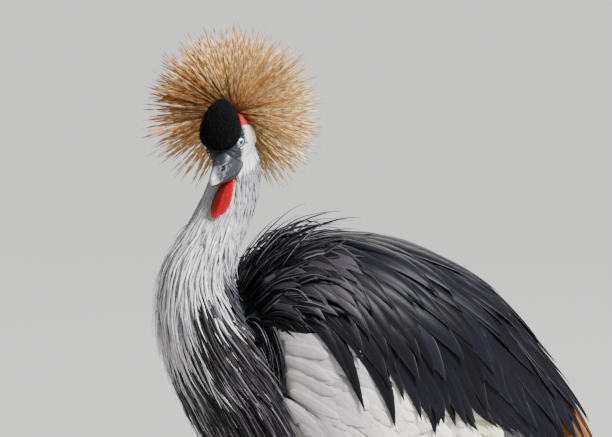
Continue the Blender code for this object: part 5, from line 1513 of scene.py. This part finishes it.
def limbRings(side):
    hip, hock, ankle = (np.array(p) * (side, 1, 1) for p in (*thighLine, legMake["ankle"]))
    rows = [(*between((hip, hock), share), half) for share, half in shinStations]
    rows += [(*between((hock, ankle), share), half) for share, half in tarsusStations]
    rows = np.array(rows + [(*(ankle - (0, 0, legMake["foot"])), legMake["footHalf"])])
    at = np.concatenate([[0], np.cumsum(np.linalg.norm(np.diff(rows[:, :3], axis=0), axis=1))])
    curve = Curve(at, rows)
    along = np.linspace(0, at[-1], legMake["rings"])
    here = curve(along)
    ahead = unit(np.gradient(here[:, :3], axis=0))
    forward = unit(np.cross(sideways, ahead))
    angle = fullTurn(legMake["sides"])
    front = ease(0.1, 0.7, -np.cos(angle) * np.sign(forward[len(forward) // 2, 1]))[None]
    rise = plates(along[:, None], front)
    size = here[:, 3:] * (1 + legMake["relief"] * rise)
    wide, deep = np.sin(angle) * size, np.cos(angle) * size * 1.05
    return here[:, None, :3] + sideways * wide[..., None] + forward[:, None] * deep[..., None], rise


def toeRings(side, turn, length, half):
    turn = math.radians(turn) * side
    x, y, _ = legMake["ankle"]
    ahead, left = (math.sin(turn), -math.cos(turn), 0), (math.cos(turn), math.sin(turn), 0)
    place = Place((side * x, y, 0.0), ahead, left, upright)
    share = np.linspace(0, 1, round(length / legMake["toeStep"]))[:, None]
    angle = fullTurn(24)[None]
    rise = plates(share * length * 1.25, ease(-0.1, 0.6, np.sin(angle)))
    size = half * toeSwell(share[:, 0]) * (1 + 0.07 * rise)
    up = np.maximum(size * 0.75 * (1 + np.sin(angle)), 0.0)
    up = np.maximum(up, 0.0032 * ease(0.1, 0.0, share))
    return place, place.at(length * share, size * np.cos(angle), up), rise


def clawRings(place, length, half):
    share = np.linspace(0, 1, clawMake["steps"])[:, None]
    angle = fullTurn(16)[None]
    size = half * 0.5 * (1 - share ** 1.5) + 0.00008
    middle = 0.0006 + half * (0.95 - 0.6 * share ** 1.4)
    up = np.maximum(middle + size * np.sin(angle) * 1.25, 0.0004)
    return place.at(length + clawMake["gap"] + clawMake["length"] * share, size * np.cos(angle), up)


def makeLeg(word, side):
    rings, rise = limbRings(side)
    limbs, lifts, claws = [loft("limb", rings)], [rise], []
    for turn, length, half in toes.values():
        place, rings, rise = toeRings(side, turn, length, half)
        limbs.append(loft("toe", rings))
        lifts.append(rise)
        claws.append(loft("claw", clawRings(place, length, half)))
    for limb, rise in zip(limbs, lifts):
        lift = np.concatenate([rise.ravel(), np.zeros(len(limb.data.vertices) - rise.size)])
        grain = 0.5 + 0.5 * ripple(vertexRows(limb), 900, 51)
        tone = tones["scale"] * (0.55 + 0.6 * grain)[:, None]
        setTint(limb.data, mix(tone, tones["pearlShade"] * 0.45, ease(0.75, 1.0, lift) * 0.7))
    nodes = ["shin_" + word, "tarsus_" + word, "foot_" + word]
    settle(joinAll("leg_" + word, limbs), legFinish, nodes)
    made = joinAll("claws_" + word, claws)
    setTint(made.data, tones["scale"] * 0.8)
    settle(made, clawFinish, ["claw_" + name + "_" + word for name in toes])


makeLeg("left", 1)
makeLeg("right", -1)
shown = [name for name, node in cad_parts.items() if not node.hide_render]
print("nodes still shown:", shown)


# the stage: pale floor, soft light and the photo's view

viewMake = {"azimuth": 65, "elevation": 8, "away": 4.5, "target": (0.0, -0.109, 0.6935), "width": 0.765,
            "sensor": 36}
stageMake = {"floor": (0.46, 0.455, 0.445, 1), "floorSize": 60, "sky": (0.8, 0.82, 0.86, 1),
             "skyStrength": 0.2, "sunPower": 10.0, "sunAngle": 16, "sunFrom": (0.816, 0.447, 0.75),
             "lampTarget": (0, -0.1, 0.6)}
lamps = (
    {"name": "fill", "power": 4, "size": 3.0, "at": (1.6, -3.6, 1.3)},
    {"name": "rim", "power": 40, "size": 1.6, "at": (-2.2, 2.0, 2.4)})


def face(made, ahead):
    made.rotation_euler = ahead.to_track_quat("-Z", "Y").to_euler()


def makeStage():
    bpy.ops.mesh.primitive_plane_add(size=stageMake["floorSize"], location=(0, 0, 0))
    floor = bpy.context.active_object
    floor.name = "floor"
    paper = Finish("palePaper", 0.9, 0.1)
    paper.shader.inputs["Base Color"].default_value = stageMake["floor"]
    floor.data.materials.append(paper.made)
    world = bpy.data.worlds.new("studio")
    world.use_nodes = True
    sky = world.node_tree.nodes["Background"].inputs
    sky["Color"].default_value = stageMake["sky"]
    sky["Strength"].default_value = stageMake["skyStrength"]
    bpy.context.scene.world = world
    sun = bpy.data.lights.new("key", "SUN")
    sun.energy = stageMake["sunPower"]
    sun.angle = math.radians(stageMake["sunAngle"])
    face(placed("key", sun), -Vector(stageMake["sunFrom"]))
    for make in lamps:
        light = bpy.data.lights.new(make["name"], "AREA")
        light.energy = make["power"]
        light.size = make["size"]
        lamp = placed(make["name"], light)
        lamp.location = make["at"]
        face(lamp, Vector(stageMake["lampTarget"]) - Vector(make["at"]))


def makeCamera():
    azimuth, elevation = math.radians(viewMake["azimuth"]), math.radians(viewMake["elevation"])
    level = Vector((math.sin(azimuth), -math.cos(azimuth), 0.0))
    back = level * math.cos(elevation) + Vector((0, 0, math.sin(elevation)))
    lens = bpy.data.cameras.new("photoView")
    lens.sensor_width = viewMake["sensor"]
    lens.lens = viewMake["sensor"] * viewMake["away"] / viewMake["width"]
    lens.dof.use_dof = False
    camera = placed("photoView", lens)
    camera.location = Vector(viewMake["target"]) + back * viewMake["away"]
    face(camera, -back)
    bpy.context.scene.camera = camera


makeStage()
makeCamera()
print("stage and camera set")
